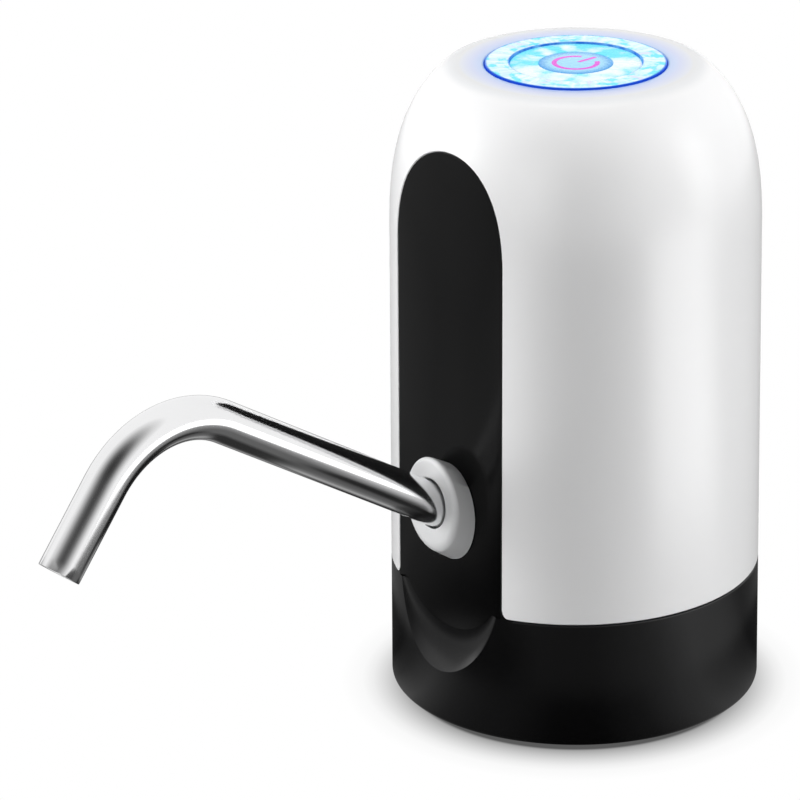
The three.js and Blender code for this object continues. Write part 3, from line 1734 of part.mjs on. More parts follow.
function topPieces() {
  return [
    piece("light_ring", lightRing(), clearPlastic),
    piece("button_cap", buttonCap(), frostedPlastic),
    piece("button_lens", buttonLens(), lensBlue),
    piece("button_spring", buttonSpring(), platedSteel),
  ];
}

function frontPieces() {
  const front = new THREE.Group();
  front.applyMatrix4(facetFrame);
  front.add(
    piece("front_panel", frontPanel(), glossBlack),
    piece("outlet_seat", outletSeat(), paleGrey),
    piece("outlet_elbow", outletElbow(), naturalPlastic),
    piece("seat_screw_1", seatScrew(-1), platedSteel),
    piece("seat_screw_2", seatScrew(1), platedSteel),
  );
  const outlet = new THREE.Group();
  outlet.applyMatrix4(outletFrame);
  outlet.add(
    piece("spout_sleeve", spoutSleeve(), greyPlastic),
    piece("outlet_ring", outletRing(), blackRubber),
    piece("spout_tube", spoutTube(), polishedSteel),
  );
  front.add(outlet);
  return front;
}

const pump = new THREE.Group();
pump.add(
  ...housingPieces(),
  pumpPieces(),
  powerPieces(),
  ...boardPieces(),
  ...topPieces(),
  frontPieces(),
  piece("delivery_hose", deliveryHose(), siliconeRubber),
);
pump.updateMatrixWorld(true);
const reach = new THREE.Box3().setFromObject(pump, true);
pump.position.y = -(reach.min.y + reach.max.y) / 2;

export default pump;
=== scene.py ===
"""Looks of the bottled water pump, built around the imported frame.

Sizes are in millimetres about the axis of the body until a mesh is made, and the front faces -Y.
"""

import json
from math import acos, asin, atan2, cos, degrees, hypot, pi, radians, sin, sqrt, tan

import bmesh
import bpy
import numpy as np
from mathutils import Matrix, Vector


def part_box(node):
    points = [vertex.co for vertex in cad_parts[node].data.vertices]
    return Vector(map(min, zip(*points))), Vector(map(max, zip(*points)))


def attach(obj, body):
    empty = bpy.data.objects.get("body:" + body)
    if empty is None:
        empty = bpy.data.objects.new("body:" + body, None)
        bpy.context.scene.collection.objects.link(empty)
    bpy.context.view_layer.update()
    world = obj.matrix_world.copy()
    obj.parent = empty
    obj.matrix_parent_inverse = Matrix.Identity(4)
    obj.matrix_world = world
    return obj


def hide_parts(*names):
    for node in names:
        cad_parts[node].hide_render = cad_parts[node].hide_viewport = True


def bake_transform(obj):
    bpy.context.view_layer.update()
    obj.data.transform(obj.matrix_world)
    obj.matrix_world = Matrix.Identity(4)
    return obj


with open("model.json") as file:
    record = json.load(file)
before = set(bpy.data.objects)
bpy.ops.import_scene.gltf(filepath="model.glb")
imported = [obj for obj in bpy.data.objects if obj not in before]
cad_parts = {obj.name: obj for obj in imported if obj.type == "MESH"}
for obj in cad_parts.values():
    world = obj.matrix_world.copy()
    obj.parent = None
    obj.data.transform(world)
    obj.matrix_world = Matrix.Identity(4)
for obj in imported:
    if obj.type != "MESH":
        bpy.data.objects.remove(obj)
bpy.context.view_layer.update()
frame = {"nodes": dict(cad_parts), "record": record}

MM = 0.001
ring_low, ring_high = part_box("light_ring")
AXIS = Vector((0, (ring_low.y + ring_high.y) / 2, 0))

# Body
BODY_HEIGHT = 124.5
FLOOR_RADIUS = 36
SHOULDER_RADIUS = 35.33
SHOULDER_HEIGHT = 90.7
DOME_REACH = 39.55
DOME_POWER = 2.731
DISC_RADIUS = 22.3
TOP_ROUND = 1.1
SHELL_BOTTOM = 25.2
SHELL_WALL = 2
SEAM = 0.2
GAP = 0.04
DRAFT = (FLOOR_RADIUS - SHOULDER_RADIUS) / SHOULDER_HEIGHT

# Panel
HALF_WIDTH = 14.35
PANEL_THICKNESS = 1.5
PANEL_BOTTOM = 18.9
CORNER = 2
SCOOP_CURVE = 12.8
POCKET = PANEL_THICKNESS + 0.15
FACET_FLOOR = sqrt(FLOOR_RADIUS**2 - HALF_WIDTH**2)
FACET_SHOULDER = sqrt(SHOULDER_RADIUS**2 - HALF_WIDTH**2)
LEAN = atan2(FACET_FLOOR - FACET_SHOULDER, SHOULDER_HEIGHT)
FACET = Matrix.Translation((0, -FACET_FLOOR, 0)) @ Matrix.Rotation(pi / 2 - LEAN, 4, "X")
LEVEL = Matrix.Identity(4)

# Base
BASE_WALL = 2.5
BASE_ROUND = 1
CUP_FLOOR = 24.2
CUP_FLOOR_THICKNESS = 2
INLET_HOLE = 4.2
SCREW_CIRCLE = 28.2
SCREW_COUNT = 3
GRIP_OUTER = 29.49
GRIP_INNER = 28.59
GRIP_BOTTOM = 2.6
GRIP_HEIGHT = 19
FIN_COUNT = 24
FIN_TIP = 25.9
FIN_THICKNESS = 0.8
FIN_SWEEP = radians(8)
SCREW_HOLE = 1.6
SCREW_RELIEF = 0.075

# Pump, of which the inlet nozzle shows from below
PUMP_BACK = -2
PUMP_RADIUS = 12.5
PUMP_LOW = 28.4
PUMP_HIGH = 36.4
NOZZLE_TIP = 12.2
PUMP_SCREW_CIRCLE = 10.2
PORT_HEIGHT = 4.2

# Rear
SOCKET_HEIGHT = 51
SOCKET_BACK = 27.56
SOCKET_FRONT = 34.62
RECESS_FLOOR = 34.82
INDICATOR_HEIGHT = 57

# Outlet
OUTLET_HEIGHT = 42.9
OUTLET_RISE = radians(31.4) - LEAN
OUTLET = (
    FACET @ Matrix.Translation((0, OUTLET_HEIGHT, 0)) @ Matrix.Rotation(-OUTLET_RISE, 4, "X")
)
PASSAGE = 5.65
SEAT_HALF_WIDTH = 7.4
SEAT_STRETCH = 9.75 / SEAT_HALF_WIDTH
SEAT_HEIGHT = 5
SEAT_TAPER = 0.2
SEAT_ROUND = 1.2
SEAT_LIP = 0.8
SEAT_HOLE = 4.3
SEAT_BORE = 4.85
SLEEVE_RADIUS = 4.7
SLEEVE_FLANGE = 5.5
SLEEVE_TAIL = 9
SLEEVE_FRONT = 1.69
SPOUT_RADIUS = 4
SPOUT_WALL = 0.5
SPOUT_DEPTH = 8.5
SPOUT_TURN = radians(83)
SPOUT_BEND = 20.5
SPOUT_FIRST_LEG = 81.5
SPOUT_SECOND_LEG = 35.6

# Top
RING_OUTER = 17.196
RING_INNER = 12.596
RING_RISE = 0.3
LENS_RADIUS = 6.896
SPRING_RADIUS = 5.7
SPRING_WIRE = 0.6
SPRING_TURNS = 4

# Facets
ROUND = 192
TUBE = 96


def wall_radius(height, inset=0.0):
    """Outer radius of the body at a height or heights, drawn in by an inset."""
    height = np.asarray(height, float)
    rise = np.clip((height - SHOULDER_HEIGHT) / (DOME_REACH - inset), 0, 1)
    dome = (SHOULDER_RADIUS - inset) * (1 - rise**DOME_POWER) ** (1 / DOME_POWER)
    straight = FLOOR_RADIUS - height * DRAFT - inset
    return np.where(height <= SHOULDER_HEIGHT, straight, dome)


def wall_at(height, inset=0.0):
    return float(wall_radius(height, inset))


def arch_height(across):
    """Height along the facet where it meets the dome, at a distance from the middle."""
    low, high = SHOULDER_HEIGHT, BODY_HEIGHT
    for _ in range(40):
        middle = (low + high) / 2
        reach = hypot(across, FACET_FLOOR - middle * tan(LEAN))
        if wall_radius(middle) > reach:
            low = middle
        else:
            high = middle
    return low / cos(LEAN)


def around(radius, angle, x=0.0, y=0.0):
    return x + radius * cos(angle), y + radius * sin(angle)


def arc(radius, start, end, steps, x=0.0, y=0.0):
    """Points of an arc in a plane, with angles in degrees."""
    return [around(radius, a, x, y) for a in np.radians(np.linspace(start, end, steps + 1))]


def circle(radius, segments, x=0.0, y=0.0):
    return arc(radius, 0, 360, segments, x, y)[:-1]


def rectangle(left, right, low, high):
    return [(left, low), (right, low), (right, high), (left, high)]


def arch(inset, steps=64):
    """The arch at the top of the panel, from its right side to its left."""
    points = []
    for angle in np.linspace(0, pi, steps + 1):
        height = arch_height(abs(HALF_WIDTH * cos(angle)))
        x = (HALF_WIDTH - inset) * cos(angle)
        points.append((x, height - inset * sin(angle)))
    return points


def panel_outline(inset):
    """Outline of the panel with its round tongue, drawn in by an inset."""
    half = HALF_WIDTH - inset
    centre = PANEL_BOTTOM + HALF_WIDTH
    shoulder = SHELL_BOTTOM + inset
    start = degrees(acos((centre - shoulder) / half)) - 90
    tongue = arc(half, -180 - start, start, 64, 0, centre)
    return arch(inset) + [(-half, shoulder)] + tongue + [(half, shoulder)]


def window_outline(grow):
    """Outline of the window in the shell, flared with round corners at its foot."""
    foot = HALF_WIDTH + CORNER
    rise = SHELL_BOTTOM + CORNER
    below = SHELL_BOTTOM - 8
    left = arc(CORNER - grow, 0, -90, 12, -foot, rise)
    right = arc(CORNER - grow, -90, -180, 12, foot, rise)
    return arch(-grow) + left + [(-foot, below), (foot, below)] + right


def flat_ring(outline, out, matrix=FACET):
    """An outline lifted off a plane by a distance, as points in space."""
    return [matrix @ Vector((x, y, out)) for x, y in outline]


def loft(rings, closed=False):
    """Points and faces of a skin through loops of equally many points."""
    count = len(rings[0])
    total = len(rings)
    points = [point for ring in rings for point in ring]
    faces = []
    for i in range(total if closed else total - 1):
        here, there = i * count, (i + 1) % total * count
        for k in range(count):
            after = (k + 1) % count
            faces.append((here + k, here + after, there + after, there + k))
    if not closed:
        faces.append(tuple(range(count)))
        faces.append(tuple(range((total - 1) * count, total * count)))
    return points, faces


def prism(outline, low, high, matrix=FACET):
    """Points and faces of an outline drawn out square to its plane."""
    return loft([flat_ring(outline, out, matrix) for out in (low, high)])


def lathe(profile, segments=ROUND, matrix=LEVEL):
    """Points and faces of a closed profile of (radius, height) turned about Z."""
    rings = []
    for angle in np.linspace(0, 2 * pi, segments, endpoint=False):
        turn = matrix @ Matrix.Rotation(angle, 4, "Z")
        rings.append([turn @ Vector((radius, 0, height)) for radius, height in profile])
    return loft(rings, closed=True)


def link(name, data):
    thing = bpy.data.objects.new(name, data)
    bpy.context.scene.collection.objects.link(thing)
    return thing


def make(name, shape):
    """A mesh object from points in millimetres about the axis of the body."""
    points, faces = shape
    mesh = bpy.data.meshes.new(name)
    mesh.from_pydata([Vector(point) * MM + AXIS for point in points], [], faces)
    work = bmesh.new()
    work.from_mesh(mesh)
    bmesh.ops.remove_doubles(work, verts=work.verts, dist=1e-7)
    bmesh.ops.dissolve_degenerate(work, edges=work.edges, dist=1e-7)
    bmesh.ops.recalc_face_normals(work, faces=work.faces)
    work.to_mesh(mesh)
    work.free()
    return link(name, mesh)


def combined(piece, shape, operation):
    """The piece joined with, cut by or kept inside another shape."""
    other = shape if isinstance(shape, bpy.types.Object) else make("cutter", shape)
    modifier = piece.modifiers.new("combined", "BOOLEAN")
    modifier.operation = operation
    modifier.solver = "MANIFOLD"
    modifier.object = other
    graph = bpy.context.evaluated_depsgraph_get()
    mesh = bpy.data.meshes.new_from_object(piece.evaluated_get(graph))
    piece.modifiers.clear()
    piece.data = mesh
    bpy.data.objects.remove(other)
    return piece


def cut(piece, *shapes):
    for shape in shapes:
        combined(piece, shape, "DIFFERENCE")
    return piece


def joined(piece, *shapes):
    for shape in shapes:
        combined(piece, shape, "UNION")
    return piece


def values(items, name, width=1, kind=float):
    """One property of a mesh's elements, as an array."""
    array = np.empty(len(items) * width, kind)
    items.foreach_get(name, array)
    return array.reshape(-1, width) if width > 1 else array


def shade(piece, surfaces=(), angle=30):
    """Smooth shading with sharp creases, and exact normals on the surfaces given."""
    mesh = piece.data
    mesh.polygons.foreach_set("use_smooth", [True] * len(mesh.polygons))
    mesh.set_sharp_from_angle(angle=radians(angle))
    if not surfaces:
        return piece
    points = (values(mesh.vertices, "co", 3) - np.array(AXIS)) / MM
    points = points[values(mesh.loops, "vertex_index", kind=int)]
    normals = values(mesh.corner_normals, "vector", 3)
    sizes = values(mesh.polygons, "loop_total", kind=int)
    facing = np.repeat(values(mesh.polygons, "normal", 3), sizes, axis=0)
    for surface in surfaces:
        distance, direction = surface(points)
        near = (np.abs(distance) < 0.02) & ((direction * facing).sum(axis=1) > 0.9)
        normals[near] = direction[near]
    mesh.normals_split_custom_set(normals.tolist())
    return piece


def wall_surface(points):
    """Distance of points from the wall and dome of the body, and its normals there."""
    x, y, z = points.T
    radius = np.maximum(np.hypot(x, y), 1e-6)
    rise = np.clip((z - SHOULDER_HEIGHT) / DOME_REACH, 0, 1)
    across = np.clip(radius / SHOULDER_RADIUS, 0, 1) ** (DOME_POWER - 1) / SHOULDER_RADIUS
    up = rise ** (DOME_POWER - 1) / DOME_REACH
    slope = np.where(z <= SHOULDER_HEIGHT, DRAFT, up / np.maximum(across, 1e-9))
    direction = np.stack([x / radius, y / radius, slope], axis=1)
    direction /= np.linalg.norm(direction, axis=1, keepdims=True)
    return radius - wall_radius(z), direction


def scoop_surface(points):
    """Distance of points from the scoop under the panel, and its normals there."""
    inverse = np.array(FACET.inverted())
    x, y, z = (points @ inverse[:3, :3].T + inverse[:3, 3]).T
    inside = np.clip(np.abs(x) / HALF_WIDTH, 0, 0.9999) * HALF_WIDTH
    drop = np.sqrt(HALF_WIDTH**2 - inside**2)
    below = np.clip(PANEL_BOTTOM + HALF_WIDTH - drop - y, 0, SCOOP_CURVE * 0.9999)
    root = np.sqrt(SCOOP_CURVE**2 - below**2)
    steep = below / root
    local = np.stack([-steep * x / drop, steep, np.ones_like(x)], axis=1)
    local /= np.linalg.norm(local, axis=1, keepdims=True)
    return z - (SCOOP_CURVE - root), local @ inverse[:3, :3]


# Outer shell
def dome_points(top, inset, steps):
    reach = DOME_REACH - inset
    end = asin(((top - SHOULDER_HEIGHT) / reach) ** (DOME_POWER / 2))
    power = 2 / DOME_POWER
    points = []
    for angle in np.linspace(0, end, steps + 1):
        radius = (SHOULDER_RADIUS - inset) * cos(angle) ** power
        points.append((radius, SHOULDER_HEIGHT + reach * sin(angle) ** power))
    return points


def wall_points(low, high, inset, steps):
    heights = np.linspace(low, high, steps, endpoint=False)
    return [(wall_at(height, inset), height) for height in heights]


def shell_profile():
    crest = BODY_HEIGHT - TOP_ROUND
    edge = 0.3
    start = Vector((wall_at(crest), crest))
    middle = Vector((wall_at(BODY_HEIGHT), BODY_HEIGHT))
    end = Vector((DISC_RADIUS, BODY_HEIGHT))
    rounding = []
    for t in np.linspace(0, 1, 9)[1:]:
        rounding.append(tuple(start * (1 - t) ** 2 + middle * 2 * t * (1 - t) + end * t**2))
    foot = arc(edge, -90, 0, 4, wall_at(SHELL_BOTTOM) - edge, SHELL_BOTTOM + edge)
    ceiling = BODY_HEIGHT - SHELL_WALL
    lip = arc(edge, 90, 180, 4, RING_OUTER + edge, BODY_HEIGHT - edge)
    inner = wall_at(SHELL_BOTTOM, SHELL_WALL)
    return (
        foot
        + wall_points(SHELL_BOTTOM + 1, SHOULDER_HEIGHT, 0, 16)
        + dome_points(crest, 0, 48)
        + rounding
        + lip
        + [(RING_OUTER, ceiling)]
        + dome_points(ceiling, SHELL_WALL, 16)[::-1]
        + [(inner, SHELL_BOTTOM)]
    )


def window_cutter():
    """Cutter for the window, flared where it meets the wall so that the edge is rounded."""
    rings = [flat_ring(window_outline(0), -POCKET * 4)]
    for angle in np.linspace(0, 66, 5):
        grow = 0.42 * (1 - cos(radians(angle)))
        out = -0.45 + 0.3 * sin(radians(angle))
        rings.append(flat_ring(window_outline(grow), out))
    rings.append(flat_ring(window_outline(0.42), 8))
    return loft(rings)


def rear_slot(width, height, depth, at, flare=0.0):
    """A slot with round ends that runs into the rear wall at a height."""
    half = width / 2 - height / 2
    rings = []
    for grow, y in ((0, depth), (0, RECESS_FLOOR + 0.15), (flare, RECESS_FLOOR + 0.7), (flare, 40)):
        radius = height / 2 + grow
        outline = arc(radius, -90, 90, 16, half) + arc(radius, 90, 270, 16, -half)
        rings.append([(x, y, at + z) for x, z in outline])
    return loft(rings)


def build_shell():
    shell = make("shell_skin", lathe(shell_profile()))
    recess = rear_slot(11.6, 6.8, RECESS_FLOOR, SOCKET_HEIGHT, 0.5)
    mouth = rear_slot(7.9, 3.1, 20, SOCKET_HEIGHT)
    indicator = rear_slot(2.7, 2.7, 20, INDICATOR_HEIGHT)
    cut(shell, window_cutter(), recess, mouth, indicator)
    return shade(shell, [wall_surface])


# Base
def base_profile():
    shoulder = SHELL_BOTTOM - SEAM
    spigot = wall_at(SHELL_BOTTOM, SHELL_WALL + 0.15)
    foot_radius = wall_at(BASE_ROUND) - BASE_ROUND
    inner = FLOOR_RADIUS - BASE_WALL
    top = wall_at(shoulder)
    deck = CUP_FLOOR + CUP_FLOOR_THICKNESS
    corner = wall_at(CUP_FLOOR, BASE_WALL)
    return (
        [(inner + 0.3, 0)]
        + arc(BASE_ROUND, -90, 0, 10, foot_radius, BASE_ROUND)
        + wall_points(BASE_ROUND + 1, shoulder - 1, 0, 10)
        + arc(0.25, 0, 90, 4, top - 0.25, shoulder - 0.25)
        + [(spigot, shoulder), (spigot, shoulder + 4.6), (spigot - 1.8, shoulder + 4.6)]
        + [(spigot - 1.8, deck), (0, deck)]
        + [(0, CUP_FLOOR), (corner - 0.6, CUP_FLOOR), (corner, CUP_FLOOR - 0.6), (inner, 0.3)]
    )


def scoop_ring(half, bottom, out):
    """U-shaped outline open at the top of the base, as points in space."""
    top = SHELL_BOTTOM + 6
    centre = bottom + half
    lift = degrees(asin(max(-1, min(1, (top - centre) / half)))) if top < centre else 0
    outline = arc(half, -180 - lift, lift, 96, 0, centre)
    last = outline[-1][0]
    return flat_ring(outline + [(last, top + 6), (-last, top + 6)], out)


def scoop_cutter():
    rings = []
    end = degrees(acos(1 - 4.2 / SCOOP_CURVE))
    for angle in np.radians(np.linspace(0, end, 25)):
        out = SCOOP_CURVE * (1 - cos(angle))
        rings.append(scoop_ring(HALF_WIDTH, PANEL_BOTTOM - SCOOP_CURVE * sin(angle), out))
    return loft(rings)


def scoop_backing():
    """Thicker wall behind the scoop, cut to the outside of the base afterwards."""
    rings = []
    half = HALF_WIDTH + 1.6
    curve = SCOOP_CURVE + 1.6
    start = acos(min(1, (SCOOP_CURVE + POCKET) / curve))
    rings.append(scoop_ring(half, PANEL_BOTTOM - 1.6, -POCKET - 1.4))
    for angle in np.linspace(start, acos(SCOOP_CURVE / curve / sqrt(2)), 9):
        low = min(PANEL_BOTTOM - curve * sin(angle), PANEL_BOTTOM - 1.6)
        rings.append(scoop_ring(half, low, SCOOP_CURVE - curve * cos(angle)))
    return loft(rings)


def wall_block(outline, side, heights):
    """Block on one side of the facet, no thicker than the shell's wall and flush with it."""
    outline = [(side * x, y) for x, y in outline]
    block = make("block", prism(outline, -PANEL_THICKNESS, 9))
    outer = [(wall_at(z), z) for z in heights]
    inner = [(radius - SHELL_WALL, z) for radius, z in outer[::-1]]
    return combined(block, lathe(outer + inner), "INTERSECT")


def shoulder_fill(side):
    """Block beside the tongue that brings the shoulder of the base up to the panel's foot."""
    low, high = SHELL_BOTTOM - 1.2, SHELL_BOTTOM - GAP
    outline = rectangle(10.5, HALF_WIDTH + GAP, low, high)
    return wall_block(outline, side, (low - 1, high + 1))


def corner_fillet(side):
    """Black corner that fills one flared foot of the window."""
    edge = HALF_WIDTH + GAP
    foot = HALF_WIDTH + CORNER
    bottom = SHELL_BOTTOM - 2 * SEAM
    top = SHELL_BOTTOM + CORNER
    reach = CORNER + GAP
    start = degrees(acos((foot - edge) / reach))
    outline = arc(reach, 180 + start, 270, 12, foot, top) + [(foot, bottom), (edge, bottom)]
    return wall_block(outline, side, np.linspace(bottom, top, 6))


def rib(angle):
    low, high = 2, CUP_FLOOR + 0.4
    inner, outer = GRIP_OUTER + 0.3, wall_at(CUP_FLOOR, BASE_WALL / 2)
    turn = Matrix.Rotation(radians(angle), 4, "Z")
    rings = []
    for height, narrow in ((low, 0.35), (low + 0.4, 0), (high, 0)):
        half = 0.8 - narrow
        rings.append(flat_ring(rectangle(inner + narrow, outer, -half, half), height, turn))
    return loft(rings)


def rod(radius, low, high, x=0.0, y=0.0, segments=48):
    return prism(circle(radius, segments, x, y), low, high, LEVEL)


SCREW_PLACES = [around(SCREW_CIRCLE, 2 * pi * i / SCREW_COUNT) for i in range(SCREW_COUNT)]


def build_base():
    base = make("base_skin", lathe(base_profile()))
    joined(base, *(rib(angle) for angle in range(15, 375, 30) if abs(angle - 270) > 40))
    shoulder = SHELL_BOTTOM - SEAM
    cut(base, prism(rectangle(-18, 18, -38, -28), shoulder, SHELL_BOTTOM + 9, LEVEL))
    solid = [(0, 0), (FLOOR_RADIUS, 0), (wall_at(shoulder), shoulder), (0, shoulder)]
    backing = combined(make("backing", scoop_backing()), lathe(solid), "INTERSECT")
    joined(base, backing, shoulder_fill(1), shoulder_fill(-1))
    tongue = prism(panel_outline(0), -POCKET, 12)
    cut(base, scoop_cutter(), tongue, rod(INLET_HOLE, 10, 40))
    cut(base, *(rod(SCREW_HOLE, 10, 40, x, y) for x, y in SCREW_PLACES))
    joined(base, corner_fillet(1), corner_fillet(-1))
    return shade(base, [wall_surface, scoop_surface])


# Grip: a soft ring with swept fins
def fin_points():
    """One fin and the ring's inside up to the next, as (radius, angle)."""
    pitch = 2 * pi / FIN_COUNT
    root = 1.3 / GRIP_INNER
    half = FIN_THICKNESS / 2 / FIN_TIP
    depth = FIN_TIP + 0.4 - GRIP_INNER
    points = []
    for share in np.linspace(0, 1, 7)[:-1]:
        sweep = FIN_SWEEP * share**0.8
        points.append((GRIP_INNER + depth * share, root * share / 6 + sweep))
    for turn in np.radians(np.linspace(0, 180, 7)):
        angle = FIN_SWEEP + root / 6 + half * (1 - cos(turn))
        points.append((FIN_TIP + 0.4 * (1 - sin(turn)), angle))
    for share in np.linspace(1, 0, 7)[1:]:
        sweep = FIN_SWEEP * share**0.8
        far = root + (root / 6 + 2 * half - root) * share
        points.append((GRIP_INNER + depth * share, far + sweep))
    return points + [(GRIP_INNER, root + (pitch - root) * share) for share in (0.35, 0.7)]


def build_grip():
    pitch = 2 * pi / FIN_COUNT
    fin = fin_points()
    total = FIN_COUNT * len(fin)
    edge = GRIP_OUTER - 0.3
    outside = ((GRIP_OUTER, 0.3), (GRIP_OUTER, GRIP_HEIGHT - 0.3), (edge, GRIP_HEIGHT))
    inside = ((0.2, GRIP_HEIGHT), (0, GRIP_HEIGHT - 0.2), (0, 0.2), (0.2, 0))
    rings = []
    for i in range(FIN_COUNT):
        for k, (radius, angle) in enumerate(fin):
            outer = 2 * pi * (i * len(fin) + k) / total
            inner = angle + i * pitch
            ring = [(*around(reach, outer), GRIP_BOTTOM + z) for reach, z in outside]
            for grow, z in inside:
                reach = min(radius + grow, GRIP_OUTER - 0.35)
                ring.append((*around(reach, inner), GRIP_BOTTOM + z))
            ring.append((*around(edge, outer), GRIP_BOTTOM))
            rings.append(ring)
    return shade(make("grip_skin", loft(rings, closed=True)), angle=40)


# Screws in the cup floor, with a cross cut in the head
def build_screw(name, x, y):
    under = CUP_FLOOR - SCREW_RELIEF
    profile = [(0, -1.7), (1, -1.66), (1.7, -1.5), (2.2, -1.2), (2.45, -0.8), (2.5, -0.4)]
    profile += [(2.5, 0), (1.25, 0), (1.25, 13.8), (0.4, 15), (0, 15)]
    profile = [(radius, z + under) for radius, z in profile]
    screw = make(name, lathe(profile, 48, Matrix.Translation((x, y, 0))))
    for a, b in ((1.5, 0.35), (0.35, 1.5)):
        slot = []
        for grow, height in ((0.12, under - 2.5), (0, under - 0.7)):
            outline = rectangle(x - a - grow, x + a + grow, y - b - grow, y + b + grow)
            slot.append(flat_ring(outline, height, LEVEL))
        cut(screw, loft(slot))
    return shade(screw)


# Pump cover with the barbed inlet nozzle
def pump_ears(low, high, radius):
    places = arc(PUMP_SCREW_CIRCLE, 45, 315, 3, 0, PUMP_BACK)
    return [rod(radius, low, high, x, y, 32) for x, y in places]


def build_cover():
    drum = [(0, PUMP_LOW), (PUMP_RADIUS - 0.3, PUMP_LOW), (PUMP_RADIUS, PUMP_LOW + 0.3)]
    drum += [(PUMP_RADIUS, PUMP_HIGH), (0, PUMP_HIGH)]
    nozzle = [(0, 0), (3.2, 0), (3.4, 0.2), (3.9, 2), (3.9, 3), (3.4, 3)]
    nozzle += [(3.9, 5), (3.9, 6), (3.4, 6), (3.4, 17), (0, 17)]
    nozzle = [(radius, z + NOZZLE_TIP) for radius, z in nozzle]
    port = [(0, 10.9), (2.3, 10.9), (2.3, 17.9), (2.1, 18.1), (0, 18.1)]
    bore = rectangle(0, 2.5, NOZZLE_TIP - 4, PUMP_HIGH - 1.6)
    along = Matrix.Translation((0, PUMP_BACK, PUMP_LOW + PORT_HEIGHT))
    along = along @ Matrix.Rotation(pi / 2, 4, "Y")
    cover = make("cover_skin", lathe(drum, 96, Matrix.Translation((0, PUMP_BACK, 0))))
    joined(cover, *pump_ears(PUMP_LOW, PUMP_HIGH, 2.2), lathe(nozzle, 96), lathe(port, 48, along))
    cut(cover, lathe(bore, 64), lathe(rectangle(0, 1.3, 6.3, 22), 32, along))
    cut(cover, *pump_ears(PUMP_LOW + 2.2, PUMP_HIGH + 2, 0.95))
    cut(cover, *pump_ears(PUMP_LOW - 2, PUMP_LOW + 2.2, 1.65))
    return shade(cover)


# Front panel, a flat plate with softened edges
def build_panel():
    edge = 0.06
    rings = [flat_ring(panel_outline(GAP), -PANEL_THICKNESS)]
    for angle in np.radians(np.linspace(0, 90, 4)):
        inset = GAP + edge * (1 - cos(angle))
        rings.append(flat_ring(panel_outline(inset), -edge + edge * sin(angle)))
    panel = make("panel_skin", loft(rings))
    return shade(cut(panel, prism(circle(PASSAGE, 64), -14, 14, OUTLET)))


# Outlet seat: an oval boss sheared along the rise of the spout, with a lip over the sleeve
def build_seat():
    shear = tan(OUTLET_RISE)
    wide = 1 / cos(OUTLET_RISE)
    crest = SEAT_HALF_WIDTH - SEAT_TAPER - SEAT_ROUND
    outside = [(SEAT_HALF_WIDTH - 0.15, 0.05), (SEAT_HALF_WIDTH, 0.2)]
    outside += arc(SEAT_ROUND, 0, 90, 12, crest, SEAT_HEIGHT - SEAT_ROUND)
    inside = arc(0.3, 90, 180, 6, SEAT_HOLE + 0.3, SEAT_HEIGHT - 0.3)
    inside += [(SEAT_HOLE, SEAT_HEIGHT - SEAT_LIP), (SEAT_BORE, SEAT_HEIGHT - SEAT_LIP)]
    inside += [(SEAT_BORE, 0.05)]
    profile = [(r, z, SEAT_STRETCH) for r, z in outside] + [(r, z, wide) for r, z in inside]
    rings = []
    for angle in np.linspace(0, 2 * pi, 128, endpoint=False):
        ring = []
        for radius, height, stretch in profile:
            y = radius * stretch * sin(angle) + height * shear
            ring.append(FACET @ Vector((radius * cos(angle), OUTLET_HEIGHT + y, height)))
        rings.append(ring)
    return shade(make("seat_skin", loft(rings, closed=True)), angle=40)


# Sleeve that turns with the spout, under the seat's lip
def build_sleeve():
    bore = SPOUT_RADIUS + 0.15
    profile = [(SLEEVE_RADIUS, -SLEEVE_TAIL), (SLEEVE_RADIUS, -5.5), (SLEEVE_FLANGE, -5.5)]
    profile += [(SLEEVE_FLANGE, -4.3), (SLEEVE_RADIUS, -4.3)]
    profile += arc(0.25, 0, 90, 5, SLEEVE_RADIUS - 0.25, SLEEVE_FRONT - 0.25)
    profile += [(bore, SLEEVE_FRONT), (bore, -SLEEVE_TAIL)]
    return shade(make("sleeve_skin", lathe(profile, TUBE, OUTLET)))


# Spout: a tube swept along two legs and a bend
def spout_stations():
    """Places and directions along the middle of the spout, in the outlet's frame."""
    tangent = SPOUT_BEND * tan(SPOUT_TURN / 2)
    straight = SPOUT_FIRST_LEG - tangent
    heights = np.linspace(-SPOUT_DEPTH, straight, 24, endpoint=False)
    stations = [(Vector((0, 0, z)), 0) for z in heights]
    for angle in np.linspace(0, SPOUT_TURN, 49):
        y = -SPOUT_BEND * (1 - cos(angle))
        stations.append((Vector((0, y, straight + SPOUT_BEND * sin(angle))), angle))
    end = stations[-1][0]
    along = Vector((0, -sin(SPOUT_TURN), cos(SPOUT_TURN)))
    for reach in np.linspace(0, SPOUT_SECOND_LEG - tangent, 9)[1:]:
        stations.append((end + along * reach, SPOUT_TURN))
    return stations


def spout_ring(place, angle, radius, back=0.0):
    tilt = Matrix.Rotation(angle, 4, "X")
    points = (tilt @ Vector((x, y, -back)) for x, y in circle(radius, TUBE))
    return [OUTLET @ (place + point) for point in points]


def build_spout():
    """The tube's outside from its root to its mouth, and its inside back again."""
    stations = spout_stations()
    mouth = stations[-1]
    edge = 0.15
    inner = SPOUT_RADIUS - SPOUT_WALL
    rings = [spout_ring(*station, SPOUT_RADIUS) for station in stations[:-1]]
    for wall, sign, turns in ((SPOUT_RADIUS, -1, (0, 90)), (inner, 1, (90, 0))):
        for turn in np.radians(np.linspace(*turns, 4)):
            radius = wall + sign * edge * (1 - cos(turn))
            rings.append(spout_ring(*mouth, radius, edge * (1 - sin(turn))))
    rings += [spout_ring(*station, inner) for station in stations[-2::-1]]
    return shade(make("spout_skin", loft(rings, closed=True)), angle=50)


